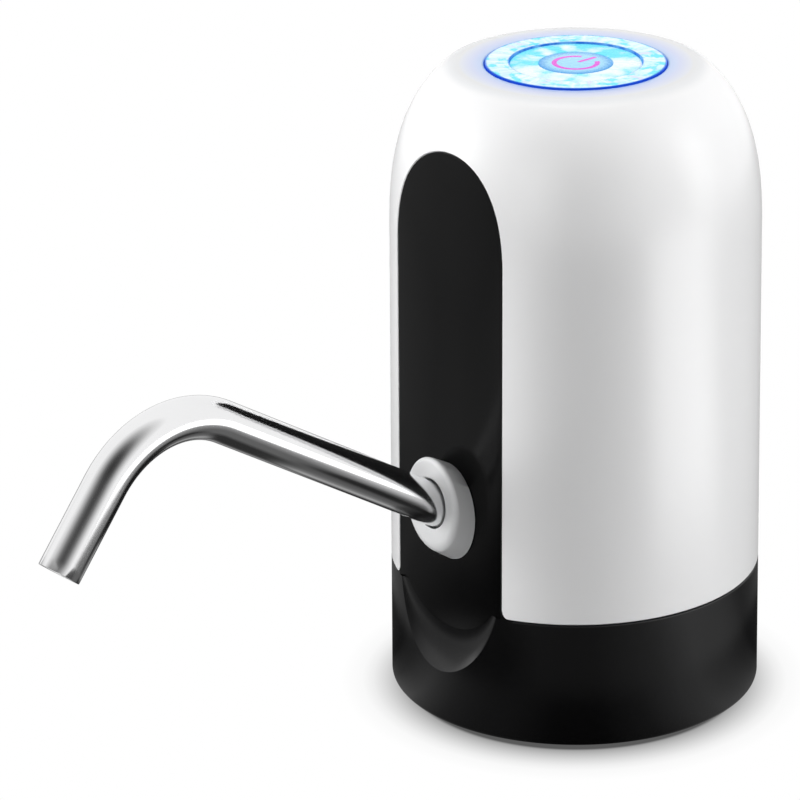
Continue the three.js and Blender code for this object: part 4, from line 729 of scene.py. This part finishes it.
# Top: light ring, button and lens
def build_ring():
    outer, inner = RING_OUTER - 0.15, RING_INNER
    top, bottom = BODY_HEIGHT + RING_RISE, BODY_HEIGHT - 4.2
    ceiling = BODY_HEIGHT - SHELL_WALL - 0.15
    profile = [(outer, bottom), (outer, ceiling - 1), (outer + 1.8, ceiling - 1)]
    profile += [(outer + 1.8, ceiling), (outer, ceiling)]
    profile += arc(0.1, 0, 90, 4, outer - 0.1, top - 0.1)
    profile += arc(0.1, 90, 180, 4, inner + 0.1, top - 0.1)
    profile += [(inner, bottom + 1), (inner - 0.8, bottom + 1), (inner - 0.8, bottom)]
    return shade(make("ring_skin", lathe(profile)))


def build_button():
    top = BODY_HEIGHT
    under = top - 1.8
    outer = RING_INNER - 0.2
    pocket = LENS_RADIUS + 0.1
    profile = [(0, 119.2), (2, 119.2), (2, under), (9.9, under), (9.9, 118.3), (11.8, 118.3)]
    profile += [(12.2, 118.7), (12.2, 120), (11.5, 120), (11.5, under)]
    profile += arc(0.3, -90, 0, 3, outer - 0.3, under + 0.3)
    profile += arc(0.35, 0, 90, 5, outer - 0.35, top - 0.35)
    profile += arc(0.15, 90, 180, 3, pocket + 0.15, top - 0.15)
    profile += [(pocket, top - 0.95), (0, top - 0.95)]
    return shade(make("button_skin", lathe(profile)))


def build_lens():
    top = BODY_HEIGHT
    profile = [(0, top - 0.8), (LENS_RADIUS, top - 0.8)]
    profile += arc(0.2, 0, 90, 4, LENS_RADIUS - 0.2, top - 0.2)
    profile += [(0, top)]
    return shade(make("lens_skin", lathe(profile)))


def build_spring():
    """Round wire of the spring under the button, and the heights of its two ends."""
    foot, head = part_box("button_spring")
    low, high = foot.z / MM + SPRING_WIRE / 2, head.z / MM - SPRING_WIRE / 2
    steps = SPRING_TURNS * 48
    rings = []
    for i in range(steps + 1):
        turn = 2 * pi * SPRING_TURNS * i / steps
        height = low + (high - low) * i / steps
        wire = circle(SPRING_WIRE / 2, 12, SPRING_RADIUS, height)
        rings.append([(*around(radius, turn), z) for radius, z in wire])
    return shade(make("spring_skin", loft(rings)), angle=50), low, high


# Rear: charging socket with its tongue, and indicator light
def rounded_bar(width, height, radius, low, high, edge=0.0):
    """A bar along Y with rounded corners, its far end softened by an edge."""
    rings = []
    for inset, y in ((0, low), (0, high - edge), (edge, high)):
        x, z, corner = width / 2 - radius, height / 2 - radius, radius - inset
        outline = arc(corner, 0, 90, 8, x, z) + arc(corner, 90, 180, 8, -x, z)
        outline += arc(corner, 180, 270, 8, -x, -z) + arc(corner, 270, 360, 8, x, -z)
        rings.append([(u, y, SOCKET_HEIGHT + v) for u, v in outline])
    return loft(rings)


def build_socket():
    socket = make("socket_skin", rounded_bar(7.6, 2.8, 0.93, SOCKET_BACK, SOCKET_FRONT, 0.1))
    cut(socket, rounded_bar(6.9, 2.1, 0.75, SOCKET_BACK + 2.36, SOCKET_FRONT + 2))
    tongue = rounded_bar(3.8, 0.8, 0.15, SOCKET_BACK + 1, SOCKET_FRONT - 1, 0.1)
    return shade(joined(socket, tongue))


def build_indicator():
    along = Matrix.Translation((0, 0, INDICATOR_HEIGHT)) @ Matrix.Rotation(-pi / 2, 4, "X")
    profile = [(0, SOCKET_BACK), (1.2, SOCKET_BACK), (1.2, 35.15)]
    profile += [(1.1, 35.3), (0.8, 35.38), (0.4, 35.42), (0, 35.43)]
    return shade(make("indicator_skin", lathe(profile, 48, along)))


# Materials
def feed(tree, socket, value):
    """Sets a socket to a number, a vector or a colour, or links another socket to it."""
    if isinstance(value, bpy.types.NodeSocket):
        tree.links.new(value, socket)
    elif socket.type == "RGBA":
        socket.default_value = (*value, 1)
    else:
        socket.default_value = value


def add(tree, kind, sockets=None, **settings):
    """A new node, with its settings made and the sockets given fed."""
    node = tree.nodes.new("ShaderNode" + kind)
    for name, value in settings.items():
        setattr(node, name, value)
    for key, value in (sockets or {}).items():
        feed(tree, node.inputs[key], value)
    return node


def new_material(name):
    material = bpy.data.materials.new(name)
    material.use_nodes = True
    material.node_tree.nodes.clear()
    return material, material.node_tree


def shown(red, green, blue):
    """A colour written as a screen shows it, for a shader."""
    values = (value / 255 for value in (red, green, blue))
    return tuple(v / 12.92 if v < 0.04045 else ((v + 0.055) / 1.055) ** 2.4 for v in values)


def place(tree, scale=(1, 1, 1), shift=(0, 0, 0)):
    """Coordinates in the object's own metres, scaled and shifted."""
    where = add(tree, "TexCoord").outputs["Object"]
    sockets = {"Vector": where, "Scale": scale, "Location": shift}
    return add(tree, "Mapping", sockets).outputs["Vector"]


def noise(tree, where, scale, detail=3):
    sockets = {"Vector": where, "Scale": scale, "Detail": detail}
    return add(tree, "TexNoise", sockets).outputs["Fac"]


def ramp(tree, factor, stops):
    """Colours by a factor; each stop is a position and a colour, in rising order."""
    node = add(tree, "ValToRGB", {"Fac": factor})
    elements = node.color_ramp.elements
    elements[0].position, elements[-1].position = stops[0][0], stops[-1][0]
    for position, _ in stops[1:-1]:
        elements.new(position)
    for element, (_, colour) in zip(elements, stops):
        element.color = (*colour, 1)
    return node.outputs["Color"]


def remap(tree, value, low, high, from_low=0.3, from_high=0.7):
    """Low to high while the value goes between its own two limits, and no further."""
    sockets = {"Value": value, "From Min": from_low, "From Max": from_high}
    sockets.update({"To Min": low, "To Max": high})
    return add(tree, "MapRange", sockets).outputs["Result"]


def number(tree, operation, first, second=0.0):
    """A number from an operation on one or two others."""
    return add(tree, "Math", {0: first, 1: second}, operation=operation).outputs["Value"]


def vector(tree, operation, first, second=(0, 0, 0)):
    """A vector, or a number for a length, a distance or a product."""
    sockets = {0: first, "Scale" if operation == "SCALE" else 1: second}
    node = add(tree, "VectorMath", sockets, operation=operation)
    single = operation in ("LENGTH", "DISTANCE", "DOT_PRODUCT")
    return node.outputs["Value" if single else "Vector"]


def height_of(tree, where):
    return add(tree, "SeparateXYZ", {"Vector": where}).outputs["Z"]


def mixed(tree, factor, first, second):
    """The first colour where the factor is 0 and the second where it is 1."""
    sockets = {"Factor": factor, 6: first, 7: second}
    return add(tree, "Mix", sockets, data_type="RGBA").outputs[2]


def principled(tree, fine, strength, relief, sockets):
    """The shader of a piece, with a relief from fine noise, joined to the output."""
    bump = add(tree, "Bump", {"Strength": strength, "Distance": relief, "Height": fine})
    sockets["Normal"] = bump.outputs["Normal"]
    shader = add(tree, "BsdfPrincipled", sockets)
    add(tree, "OutputMaterial", {"Surface": shader.outputs["BSDF"]})


def shifted(colour, share):
    return tuple(max(0, min(1, value * (1 + share))) for value in colour)


def surface(
    name, colour, roughness, mottle=0.03, metallic=0.0, grain=700, relief=2e-5, gloss=0.5,
    wear=0.1, paint=None
):
    """A material whose colour, gloss and relief vary slightly over the piece."""
    material, tree = new_material(name)
    where = place(tree)
    cloud = noise(tree, where, CLOUD_SCALE)
    fine = noise(tree, where, grain, 2)
    tint = ramp(tree, cloud, [(0.3, shifted(colour, -mottle)), (0.7, shifted(colour, mottle))])
    # A paint may add painted light to the colour, as the light ring's glow on the shell's top.
    if paint:
        tint = paint(tree, tint)
    if wear:
        roughness = remap(tree, fine, roughness * (1 - wear), roughness * (1 + wear))
    sockets = {"Base Color": tint, "Roughness": roughness, "Metallic": metallic}
    sockets["Specular IOR Level"] = gloss
    principled(tree, fine, 0.4, relief, sockets)
    return material


def lit(name, paint, share, roughness):
    """A moulding lit from below: part of its colour is its own light."""
    material, tree = new_material(name)
    colour = paint(tree)
    fine = noise(tree, place(tree), 900, 2)
    sockets = {"Base Color": vector(tree, "SCALE", colour, 1 - share)}
    sockets.update({"Emission Color": colour, "Emission Strength": share})
    sockets["Roughness"] = remap(tree, fine, roughness * 0.85, roughness * 1.2)
    sockets["Specular IOR Level"] = 0.12
    principled(tree, fine, 0.3, 0.00001, sockets)
    return material


def polar(tree):
    """Place in millimetres from the axis: x, y, the distance, and the flat vector."""
    flat = place(tree, (1000, 1000, 0), (0, -AXIS.y * 1000, 0))
    split = add(tree, "SeparateXYZ", {"Vector": flat})
    return split.outputs["X"], split.outputs["Y"], vector(tree, "LENGTH", flat), flat


def spokes(tree, flat, radius, count, along):
    """Noise drawn out along the radius, with about so many changes round the circle."""
    unit = vector(tree, "NORMALIZE", flat)
    grown = vector(tree, "SCALE", unit, count / pi)
    lift = add(tree, "CombineXYZ", {"Z": number(tree, "MULTIPLY", radius, along)})
    return noise(tree, vector(tree, "ADD", grown, lift.outputs["Vector"]), 1, 2)


def sideways(tree):
    """1 on upright faces and 0 on level ones."""
    normal = add(tree, "NewGeometry").outputs["Normal"]
    return remap(tree, number(tree, "ABSOLUTE", height_of(tree, normal)), 1, 0, 0.4, 0.8)


CLOUD_SCALE = 45
DEEP_BLUE = shown(16, 70, 205)
LINE_BLUE = shown(30, 110, 215)
SOFT_BLUE = shown(120, 190, 245)
EDGE_BLUE = shown(90, 185, 235)
LENS_BLUE = shown(165, 222, 250)
RIM_BLUE = shown(75, 160, 232)
PALE_CYAN = shown(205, 245, 255)
CYAN = shown(110, 232, 250)
LAVENDER = shown(222, 226, 252)
NEAR_WHITE = shown(240, 252, 255)
PINK = shown(226, 70, 214)
PALE_PINK = shown(236, 110, 226)

# The power symbol on the lens
SYMBOL_RADIUS = 4.05
SYMBOL_HALF_STROKE = 0.4
BAR_HALF_WIDTH = 0.36
BAR_START, BAR_END = 0.7, 5.1


def paint_ring(tree):
    """Pale cyan with streaks and spots, and blue lines along both edges."""
    _, _, radius, flat = polar(tree)
    streaks = spokes(tree, flat, radius, 30, 0.12)
    stops = [(0.3, LAVENDER), (0.45, PALE_CYAN), (0.58, NEAR_WHITE), (0.7, PALE_CYAN)]
    colour = ramp(tree, streaks, stops)
    spots = spokes(tree, flat, radius, 16, 0.55)
    colour = mixed(tree, remap(tree, spots, 0, 1, 0.5, 0.64), colour, CYAN)
    inner_line = remap(tree, radius, 0.8, 0, 12.6, 12.85)
    colour = mixed(tree, inner_line, colour, LINE_BLUE)
    colour = mixed(tree, remap(tree, radius, 0, 1, 16.6, 16.95), colour, LINE_BLUE)
    inner_wall = mixed(tree, remap(tree, spots, 0, 0.7, 0.4, 0.6), LINE_BLUE, SOFT_BLUE)
    wall = mixed(tree, remap(tree, radius, 0, 1, 13, 14), inner_wall, DEEP_BLUE)
    return mixed(tree, sideways(tree), colour, wall)


def paint_cap(tree):
    """Pale cyan that goes to white, with a faint edge."""
    x, y, radius, flat = polar(tree)
    cloud = spokes(tree, flat, radius, 7, 0.2)
    lean = number(tree, "MULTIPLY", number(tree, "SUBTRACT", x, y), -0.006)
    stops = [(0.38, NEAR_WHITE), (0.5, PALE_CYAN), (0.62, CYAN)]
    colour = ramp(tree, number(tree, "ADD", cloud, lean), stops)
    return mixed(tree, remap(tree, radius, 1, 0, 6.9, 7.15), colour, EDGE_BLUE)


def paint_lens(tree):
    """Light blue with a darker speckled rim and a power symbol, open to the rear."""
    x, y, radius, flat = polar(tree)
    speckle = noise(tree, flat, 3.5, 2)
    reach = number(tree, "ADD", radius, number(tree, "MULTIPLY", speckle, 2.4))
    colour = mixed(tree, remap(tree, reach, 0, 1, 6.2, 8.2), LENS_BLUE, RIM_BLUE)
    off_line = number(tree, "ABSOLUTE", number(tree, "SUBTRACT", radius, SYMBOL_RADIUS))
    stroke = remap(tree, off_line, 1, 0, SYMBOL_HALF_STROKE, SYMBOL_HALF_STROKE + 0.15)
    angle = number(tree, "ABSOLUTE", number(tree, "ARCTAN2", x, y))
    open_arc = remap(tree, angle, 0, 1, radians(29), radians(33))
    across = number(tree, "ABSOLUTE", x)
    bar = remap(tree, across, 1, 0, BAR_HALF_WIDTH, BAR_HALF_WIDTH + 0.14)
    low = remap(tree, y, 0, 1, BAR_START - 0.1, BAR_START + 0.1)
    high = remap(tree, y, 1, 0, BAR_END - 0.1, BAR_END + 0.2)
    bar = number(tree, "MULTIPLY", bar, number(tree, "MULTIPLY", low, high))
    sign = number(tree, "MAXIMUM", number(tree, "MULTIPLY", stroke, open_arc), bar)
    pink = mixed(tree, remap(tree, speckle, 0, 1), PINK, PALE_PINK)
    return mixed(tree, sign, colour, pink)


def paint_glow(tree, tint):
    """Painted light: the light ring's glow, painted into the colour of the flat top of the shell.
    """
    _, _, radius, _ = polar(tree)
    top = remap(tree, height_of(tree, place(tree)), 0, 1, 0.1238, 0.1243)
    stops = [
        (0, DEEP_BLUE),
        (0.06, shown(130, 190, 250)),
        (0.14, shown(198, 218, 252)),
        (0.5, shown(212, 219, 245)),
        (0.9, shown(226, 229, 238)),
        (1, shown(229, 230, 232)),
    ]
    return mixed(tree, top, tint, ramp(tree, remap(tree, radius, 0, 1, 17, 22), stops))


# Colour, roughness, mottle, and what else differs from a plain surface
SURFACES = {
    "white_shell": (
        (0.82, 0.82, 0.825), 0.26, 0.006,
        {"relief": 1e-6, "gloss": 0.8, "wear": 0, "paint": paint_glow},
    ),
    "black_base": ((0.0016, 0.0016, 0.0018), 0.22, 0.06, {"relief": 1.5e-6}),
    "black_panel": ((0.0012, 0.0012, 0.0013), 0.2, 0.06, {"relief": 1e-6, "gloss": 0.2}),
    "pale_seat": ((0.68, 0.685, 0.69), 0.28, 0.015, {"relief": 4e-6, "wear": 0}),
    "grey_sleeve": ((0.33, 0.34, 0.34), 0.38, 0.04, {"relief": 1e-5}),
    "polished_steel": (
        (0.86, 0.86, 0.865), 0.12, 0.02,
        {"metallic": 1, "grain": 900, "relief": 5e-7, "wear": 0},
    ),
    "grip_rubber": ((0.022, 0.022, 0.023), 0.62, 0.15, {}),
    "black_rubber": ((0.02, 0.02, 0.021), 0.7, 0.15, {}),
    "natural_plastic": ((0.74, 0.71, 0.63), 0.5, 0.03, {}),
    "grey_plastic": ((0.36, 0.37, 0.39), 0.5, 0.05, {}),
    "plated_steel": ((0.56, 0.57, 0.58), 0.28, 0.05, {"metallic": 1}),
    "brass_tab": ((0.7, 0.5, 0.2), 0.28, 0.06, {"metallic": 1}),
    "magnet": ((0.05, 0.05, 0.055), 0.55, 0.15, {"metallic": 0.6, "grain": 2500}),
    "cell_wrap": ((0.05, 0.16, 0.42), 0.28, 0.05, {}),
    "board_green": ((0.02, 0.16, 0.06), 0.42, 0.2, {"grain": 400}),
    "switch_black": ((0.015, 0.015, 0.016), 0.5, 0.1, {}),
    "led_white": ((0.85, 0.82, 0.62), 0.28, 0.05, {}),
    "clear_plastic": ((0.72, 0.84, 0.87), 0.2, 0.03, {}),
    "clear_hose": ((0.7, 0.75, 0.75), 0.28, 0.04, {}),
}
LOOKS = {name: surface(name, *look, **extra) for name, (*look, extra) in SURFACES.items()}
LOOKS["lit_ring"] = lit("lit_ring", paint_ring, 0.6, 0.25)
LOOKS["lit_cap"] = lit("lit_cap", paint_cap, 0.55, 0.27)
LOOKS["lit_lens"] = lit("lit_lens", paint_lens, 0.55, 0.26)


def paint_with(piece, look):
    piece.data.materials.clear()
    piece.data.materials.append(LOOKS[look])


def dress(piece, look, body, slot, *nodes):
    """Gives a piece its material and body, and hides the solids that it stands for."""
    paint_with(piece, look)
    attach(piece, body)
    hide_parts(*nodes)


dress(build_shell(), "white_shell", "housing", "shell_white", "outer_shell")
dress(build_base(), "black_base", "housing", "base_black", "base_cup")
dress(build_grip(), "grip_rubber", "housing", "grip_rubber", "neck_grip")
for i, (x, y) in enumerate(SCREW_PLACES):
    screw = build_screw(f"base_screw_skin_{i + 1}", x, y)
    dress(screw, "plated_steel", "housing", "plated_steel", f"base_screw_{i + 1}")
dress(build_cover(), "natural_plastic", "housing", "natural_plastic", "pump_cover")
dress(build_panel(), "black_panel", "housing", "panel_black", "front_panel")
dress(build_seat(), "pale_seat", "housing", "seat_grey", "outlet_seat")
dress(build_sleeve(), "grey_sleeve", "swivel", "sleeve_grey", "spout_sleeve")
dress(build_spout(), "polished_steel", "spout", "polished_steel", "spout_tube")
dress(build_ring(), "lit_ring", "housing", "light_plastic", "light_ring")
dress(build_button(), "lit_cap", "button", "frosted_plastic", "button_cap")
dress(build_lens(), "lit_lens", "button", "lens_plastic", "button_lens")
dress(build_socket(), "plated_steel", "housing", "plated_steel", "charge_socket")
dress(build_indicator(), "clear_plastic", "housing", "clear_plastic", "charge_indicator")

spring, spring_low, spring_high = build_spring()
paint_with(spring, "plated_steel")
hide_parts("button_spring")
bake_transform(spring)

for entry in frame["record"]["subparts"]:
    if entry["material_slot"] in LOOKS:
        paint_with(frame["nodes"][entry["node"]], entry["material_slot"])


# Stage: floor, lamps, and cards that only reflections show, as painted reflections; tones are
# shares of white
VIEW_AZIMUTH = 46.5
LAMP_DISTANCE = 1.2
LAMP_AIM = AXIS + Vector((0, 0, 0.065))
LAMPS = (  # name, degrees from the camera, elevation, size in metres, watts
    ("left_light", -85, 10, (0.45, 1), 14.5),
    ("front_light", -25, 10, (0.45, 1), 6.6),
    ("right_light", 85, 10, (0.45, 1), 16.7),
    ("top_light", 180, 88, (0.8, 0.8), 8),
)
FLOOR_SIZE = 4
FLOOR_DROP = 0.0002
SHADOW_REACH = 0.03
SHADOW_SHIFT = 4
SHADOW_NEAR = [(0.5, (0, 0, 0)), (0.75, (0.1, 0.1, 0.1)), (0.97, (1, 1, 1))]
# Millimetres from the middle of the shadow
SHADOW_EDGE = [(32.5, 0.1), (33.3, 0.38), (35.2, 0.54), (37.4, 0.71), (39.6, 0.86)]
SHADOW_EDGE += [(41.7, 0.95), (46, 1)]
CARD_GLOW = 3
FLOOR_CARD_RADIUS = 600
# Millimetres from a place under the spout, for a painted shadow that reflections show
UNDER_SPOUT = [(25, 0.01), (40, 0.035), (60, 0.11), (80, 0.2), (110, 0.33), (150, 1)]
# Degrees from the camera: beside the base, further out, and beyond
FLOOR_NEAR = [(-180, 0.02), (-110, 0.03), (-97, 0.02), (-82, 0.12), (-66, 0.42), (-49, 0.19)]
FLOOR_NEAR += [(-36, 0.12), (-24, 0.1), (-7, 0.02), (10, 0.02), (28, 0.12), (47, 0.4), (58, 0.43)]
FLOOR_NEAR += [(70, 0.26), (86, 0.1), (100, 0.02), (180, 0.02)]
FLOOR_MID = [(-180, 0.1), (-100, 0.2), (-88, 0.5), (-78, 0.5), (-68, 0.34), (-55, 0.13)]
FLOOR_MID += [(10, 0.13), (40, 0.3), (60, 0.6), (80, 0.4), (100, 0.1), (180, 0.1)]
# The bright stretches further out are painted highlights on the shell and the steel.
FLOOR_FAR = [(-180, 0.2), (-110, 0.45), (-75, 0.45), (-55, 1.5), (-35, 1.5), (-20, 0.3)]
FLOOR_FAR += [(0, 0.05), (25, 0.1), (38, 0.4), (50, 2.9), (78, 2.9), (95, 0.3)]
FLOOR_FAR += [(140, 0.12), (180, 0.2)]
FLAG_RADIUS = 700
FLAG_TONES = [(0, 0.04), (100, 0.07), (180, 0.17), (300, 0.45), (450, 0.75), (700, 1)]
LOW_CARD_AZIMUTH = -19
LOW_CARD_DISTANCE = 0.3
LOW_CARD_HALF_WIDTH = 0.29
LOW_CARD_HEIGHT = 0.2
# Rise over distance from the axis
LOW_CARD_LEFT = [(0, 0.35), (0.09, 0.5), (0.21, 0.5), (0.36, 0.9), (0.47, 1)]
LOW_CARD_RIGHT = [(0, 0.12), (0.21, 0.14), (0.36, 0.2), (0.65, 0.5)]


def direction(azimuth, elevation=0.0):
    """Unit vector towards an azimuth, 0 in front of the pump, and an elevation."""
    turn, lift = radians(azimuth), radians(elevation)
    level = cos(lift)
    return Vector((sin(turn) * level, -cos(turn) * level, sin(lift)))


def flat_mesh(name, corners, material):
    mesh = bpy.data.meshes.new(name)
    mesh.from_pydata(corners, [], [tuple(range(len(corners)))])
    mesh.materials.append(material)
    return link(name, mesh)


def seen_directly(tree):
    """1 for rays from the camera, or by way of metal or glass, and 0 for stray light."""
    path = add(tree, "LightPath")
    total = number(tree, "ADD", path.outputs["Is Camera Ray"], path.outputs["Is Glossy Ray"])
    total = number(tree, "ADD", total, path.outputs["Is Transmission Ray"])
    return number(tree, "MINIMUM", total, 1)


def tone_by(tree, value, stops):
    """Greys by a value; the stops rise."""
    low, high = stops[0][0], stops[-1][0]
    share = remap(tree, value, 0, 1, low, high)
    return ramp(tree, share, [((at - low) / (high - low), (tone,) * 3) for at, tone in stops])


def distance_to(tree, point):
    """Distance in millimetres of a place from a point."""
    return vector(tree, "DISTANCE", place(tree, (1000, 1000, 1000)), point)


def build_floor():
    """A floor that goes to white, but for a painted shadow where the object stands."""
    material, tree = new_material("floor")
    near = add(tree, "AmbientOcclusion", {"Distance": SHADOW_REACH}).outputs["AO"]
    middle = direction(VIEW_AZIMUTH) * SHADOW_SHIFT + AXIS / MM
    edge = tone_by(tree, distance_to(tree, middle), SHADOW_EDGE)
    # Painted shadow: darker by occlusion near the object and by distance from a middle shifted
    # towards the camera.
    tint = vector(tree, "MAXIMUM", ramp(tree, near, SHADOW_NEAR), edge)
    rough = remap(tree, noise(tree, place(tree), 400), 0.8, 0.9)
    sockets = {"Base Color": (0.35, 0.35, 0.35), "Specular IOR Level": 0, "Roughness": rough}
    plain = add(tree, "BsdfPrincipled", sockets).outputs["BSDF"]
    glow = add(tree, "Emission", {"Color": tint}).outputs["Emission"]
    mix = add(tree, "MixShader", {0: seen_directly(tree), 1: plain, 2: glow})
    add(tree, "OutputMaterial", {"Surface": mix.outputs["Shader"]})
    corners = rectangle(-FLOOR_SIZE, FLOOR_SIZE, -FLOOR_SIZE, FLOOR_SIZE)
    floor = flat_mesh("floor", [(x, y, 0) for x, y in corners], material)
    floor.location.z = -FLOOR_DROP


def area_light(name, azimuth, elevation, size, power):
    """A soft lamp that faces the pump. Reflections show the cards in its place."""
    data = bpy.data.lights.new(name, "AREA")
    data.shape = "RECTANGLE"
    data.size, data.size_y = size
    data.energy = power
    light = link(name, data)
    away = direction(azimuth, elevation)
    light.location = LAMP_AIM + away * LAMP_DISTANCE
    light.rotation_euler = away.to_track_quat("Z", "Y").to_euler()
    light.visible_glossy = False


def card(name, corners, paint, strength=1.0):
    """A studio card that only reflections show, painted by its place: a painted reflection."""
    material, tree = new_material(name)
    glow = add(tree, "Emission", {"Color": paint(tree), "Strength": strength})
    add(tree, "OutputMaterial", {"Surface": glow.outputs["Emission"]})
    plate = flat_mesh(name, corners, material)
    plate.visible_camera = False
    plate.visible_diffuse = False
    plate.visible_shadow = False
    plate.visible_transmission = False


def paint_floor_card(tree):
    """Painted reflection: dark under the spout and before and behind the pump, with bright patches
    to both sides.
    """
    _, _, radius, flat = polar(tree)
    # The dark under the spout is a painted shadow of the pump, seen only in reflections.
    under = distance_to(tree, (-3, -80 + AXIS.y * 1000, 0))
    under = tone_by(tree, under, UNDER_SPOUT)
    ahead = direction(VIEW_AZIMUTH)
    forward = vector(tree, "DOT_PRODUCT", flat, ahead)
    across = vector(tree, "DOT_PRODUCT", flat, (-ahead.y, ahead.x, 0))
    angle = number(tree, "ARCTAN2", across, forward)
    angle = number(tree, "MULTIPLY", angle, 180 / pi)
    near, middle, far = (
        tone_by(tree, angle, [(at, tone / CARD_GLOW) for at, tone in stops])
        for stops in (FLOOR_NEAR, FLOOR_MID, FLOOR_FAR)
    )
    around = mixed(tree, remap(tree, radius, 0, 1, 110, 160), middle, far)
    darker = vector(tree, "MINIMUM", under, around)
    return mixed(tree, remap(tree, radius, 0, 1, 56, 63), near, darker)


def paint_flag(tree):
    """Painted reflection: dark in the middle of the card, and as bright as the world at its edge.
    """
    return tone_by(tree, distance_to(tree, flag_middle * 1000), FLAG_TONES)


def paint_low_card(tree):
    """Painted reflection, toned by direction from the axis: dark ahead of the panel, paler to the
    left and upwards.
    """
    x, y, radius, _ = polar(tree)
    height = height_of(tree, place(tree, (1000, 1000, 1000)))
    rise = number(tree, "DIVIDE", height, radius)
    left, right = (tone_by(tree, rise, stops) for stops in (LOW_CARD_LEFT, LOW_CARD_RIGHT))
    angle = number(tree, "ARCTAN2", x, number(tree, "MULTIPLY", y, -1))
    share = remap(tree, angle, 0, 1, radians(-28), radians(-6))
    return mixed(tree, share, left, right)


def build_world():
    """White where it is seen, and nearly dark for stray light."""
    world = bpy.data.worlds.new("studio")
    bpy.context.scene.world = world
    world.use_nodes = True
    tree = world.node_tree
    tree.nodes.clear()
    stray, seen = (
        add(tree, "Background", {"Color": (1, 1, 1), "Strength": strength}).outputs["Background"]
        for strength in (0.02, 1)
    )
    mix = add(tree, "MixShader", {0: seen_directly(tree), 1: stray, 2: seen})
    add(tree, "OutputWorld", {"Surface": mix.outputs["Shader"]})


def build_camera():
    """The photograph's camera, from a fit to the outline of the pump."""
    pitch, yaw, roll = 0.3768, -0.0445, -0.0139
    flat = Vector((sin(yaw), cos(yaw), 0))
    right = Vector((cos(yaw), -sin(yaw), 0))
    forward = flat * cos(pitch) - Vector((0, 0, sin(pitch)))
    up = right.cross(forward)
    across = right * cos(roll) + up * sin(roll)
    upward = up * cos(roll) - right * sin(roll)
    turn = Matrix.Rotation(radians(VIEW_AZIMUTH), 4, "Z")
    away = Matrix.Translation((0, -0.75881, 0.35709))
    axes = Matrix((across, upward, -forward)).transposed().to_4x4()
    data = bpy.data.cameras.new("camera")
    data.sensor_width = 36
    data.lens = 190.14
    data.clip_start = 0.01
    camera = link("camera", data)
    camera.matrix_world = Matrix.Translation(AXIS) @ turn @ away @ axes
    bpy.context.scene.camera = camera


build_floor()
build_world()
build_camera()
for name, azimuth, elevation, size, power in LAMPS:
    area_light(name, VIEW_AZIMUTH + azimuth, elevation, size, power)

disc = [Vector((x, y, 0.1)) * MM + AXIS for x, y in circle(FLOOR_CARD_RADIUS, 96)]
card("floor_card", disc, paint_floor_card, CARD_GLOW)

flag_away = direction(VIEW_AZIMUTH - 12, 38)
flag_middle = AXIS + Vector((0, 0, 0.06)) + flag_away * 0.5
flag_turn = flag_away.to_track_quat("Z", "Y").to_matrix()
flag = [flag_middle + flag_turn @ Vector((x, y, 0)) * MM for x, y in circle(FLAG_RADIUS, 96)]
card("flag", flag, paint_flag)

low_away = direction(LOW_CARD_AZIMUTH)
low_side = Vector((-low_away.y, low_away.x, 0)) * LOW_CARD_HALF_WIDTH
low_foot = AXIS + low_away * LOW_CARD_DISTANCE + Vector((0, 0, 0.0005))
low_top = low_foot + Vector((0, 0, LOW_CARD_HEIGHT))
low_card = [low_foot - low_side, low_foot + low_side, low_top + low_side, low_top - low_side]
card("low_card", low_card, paint_low_card)

bpy.context.scene.view_settings.view_transform = "Standard"
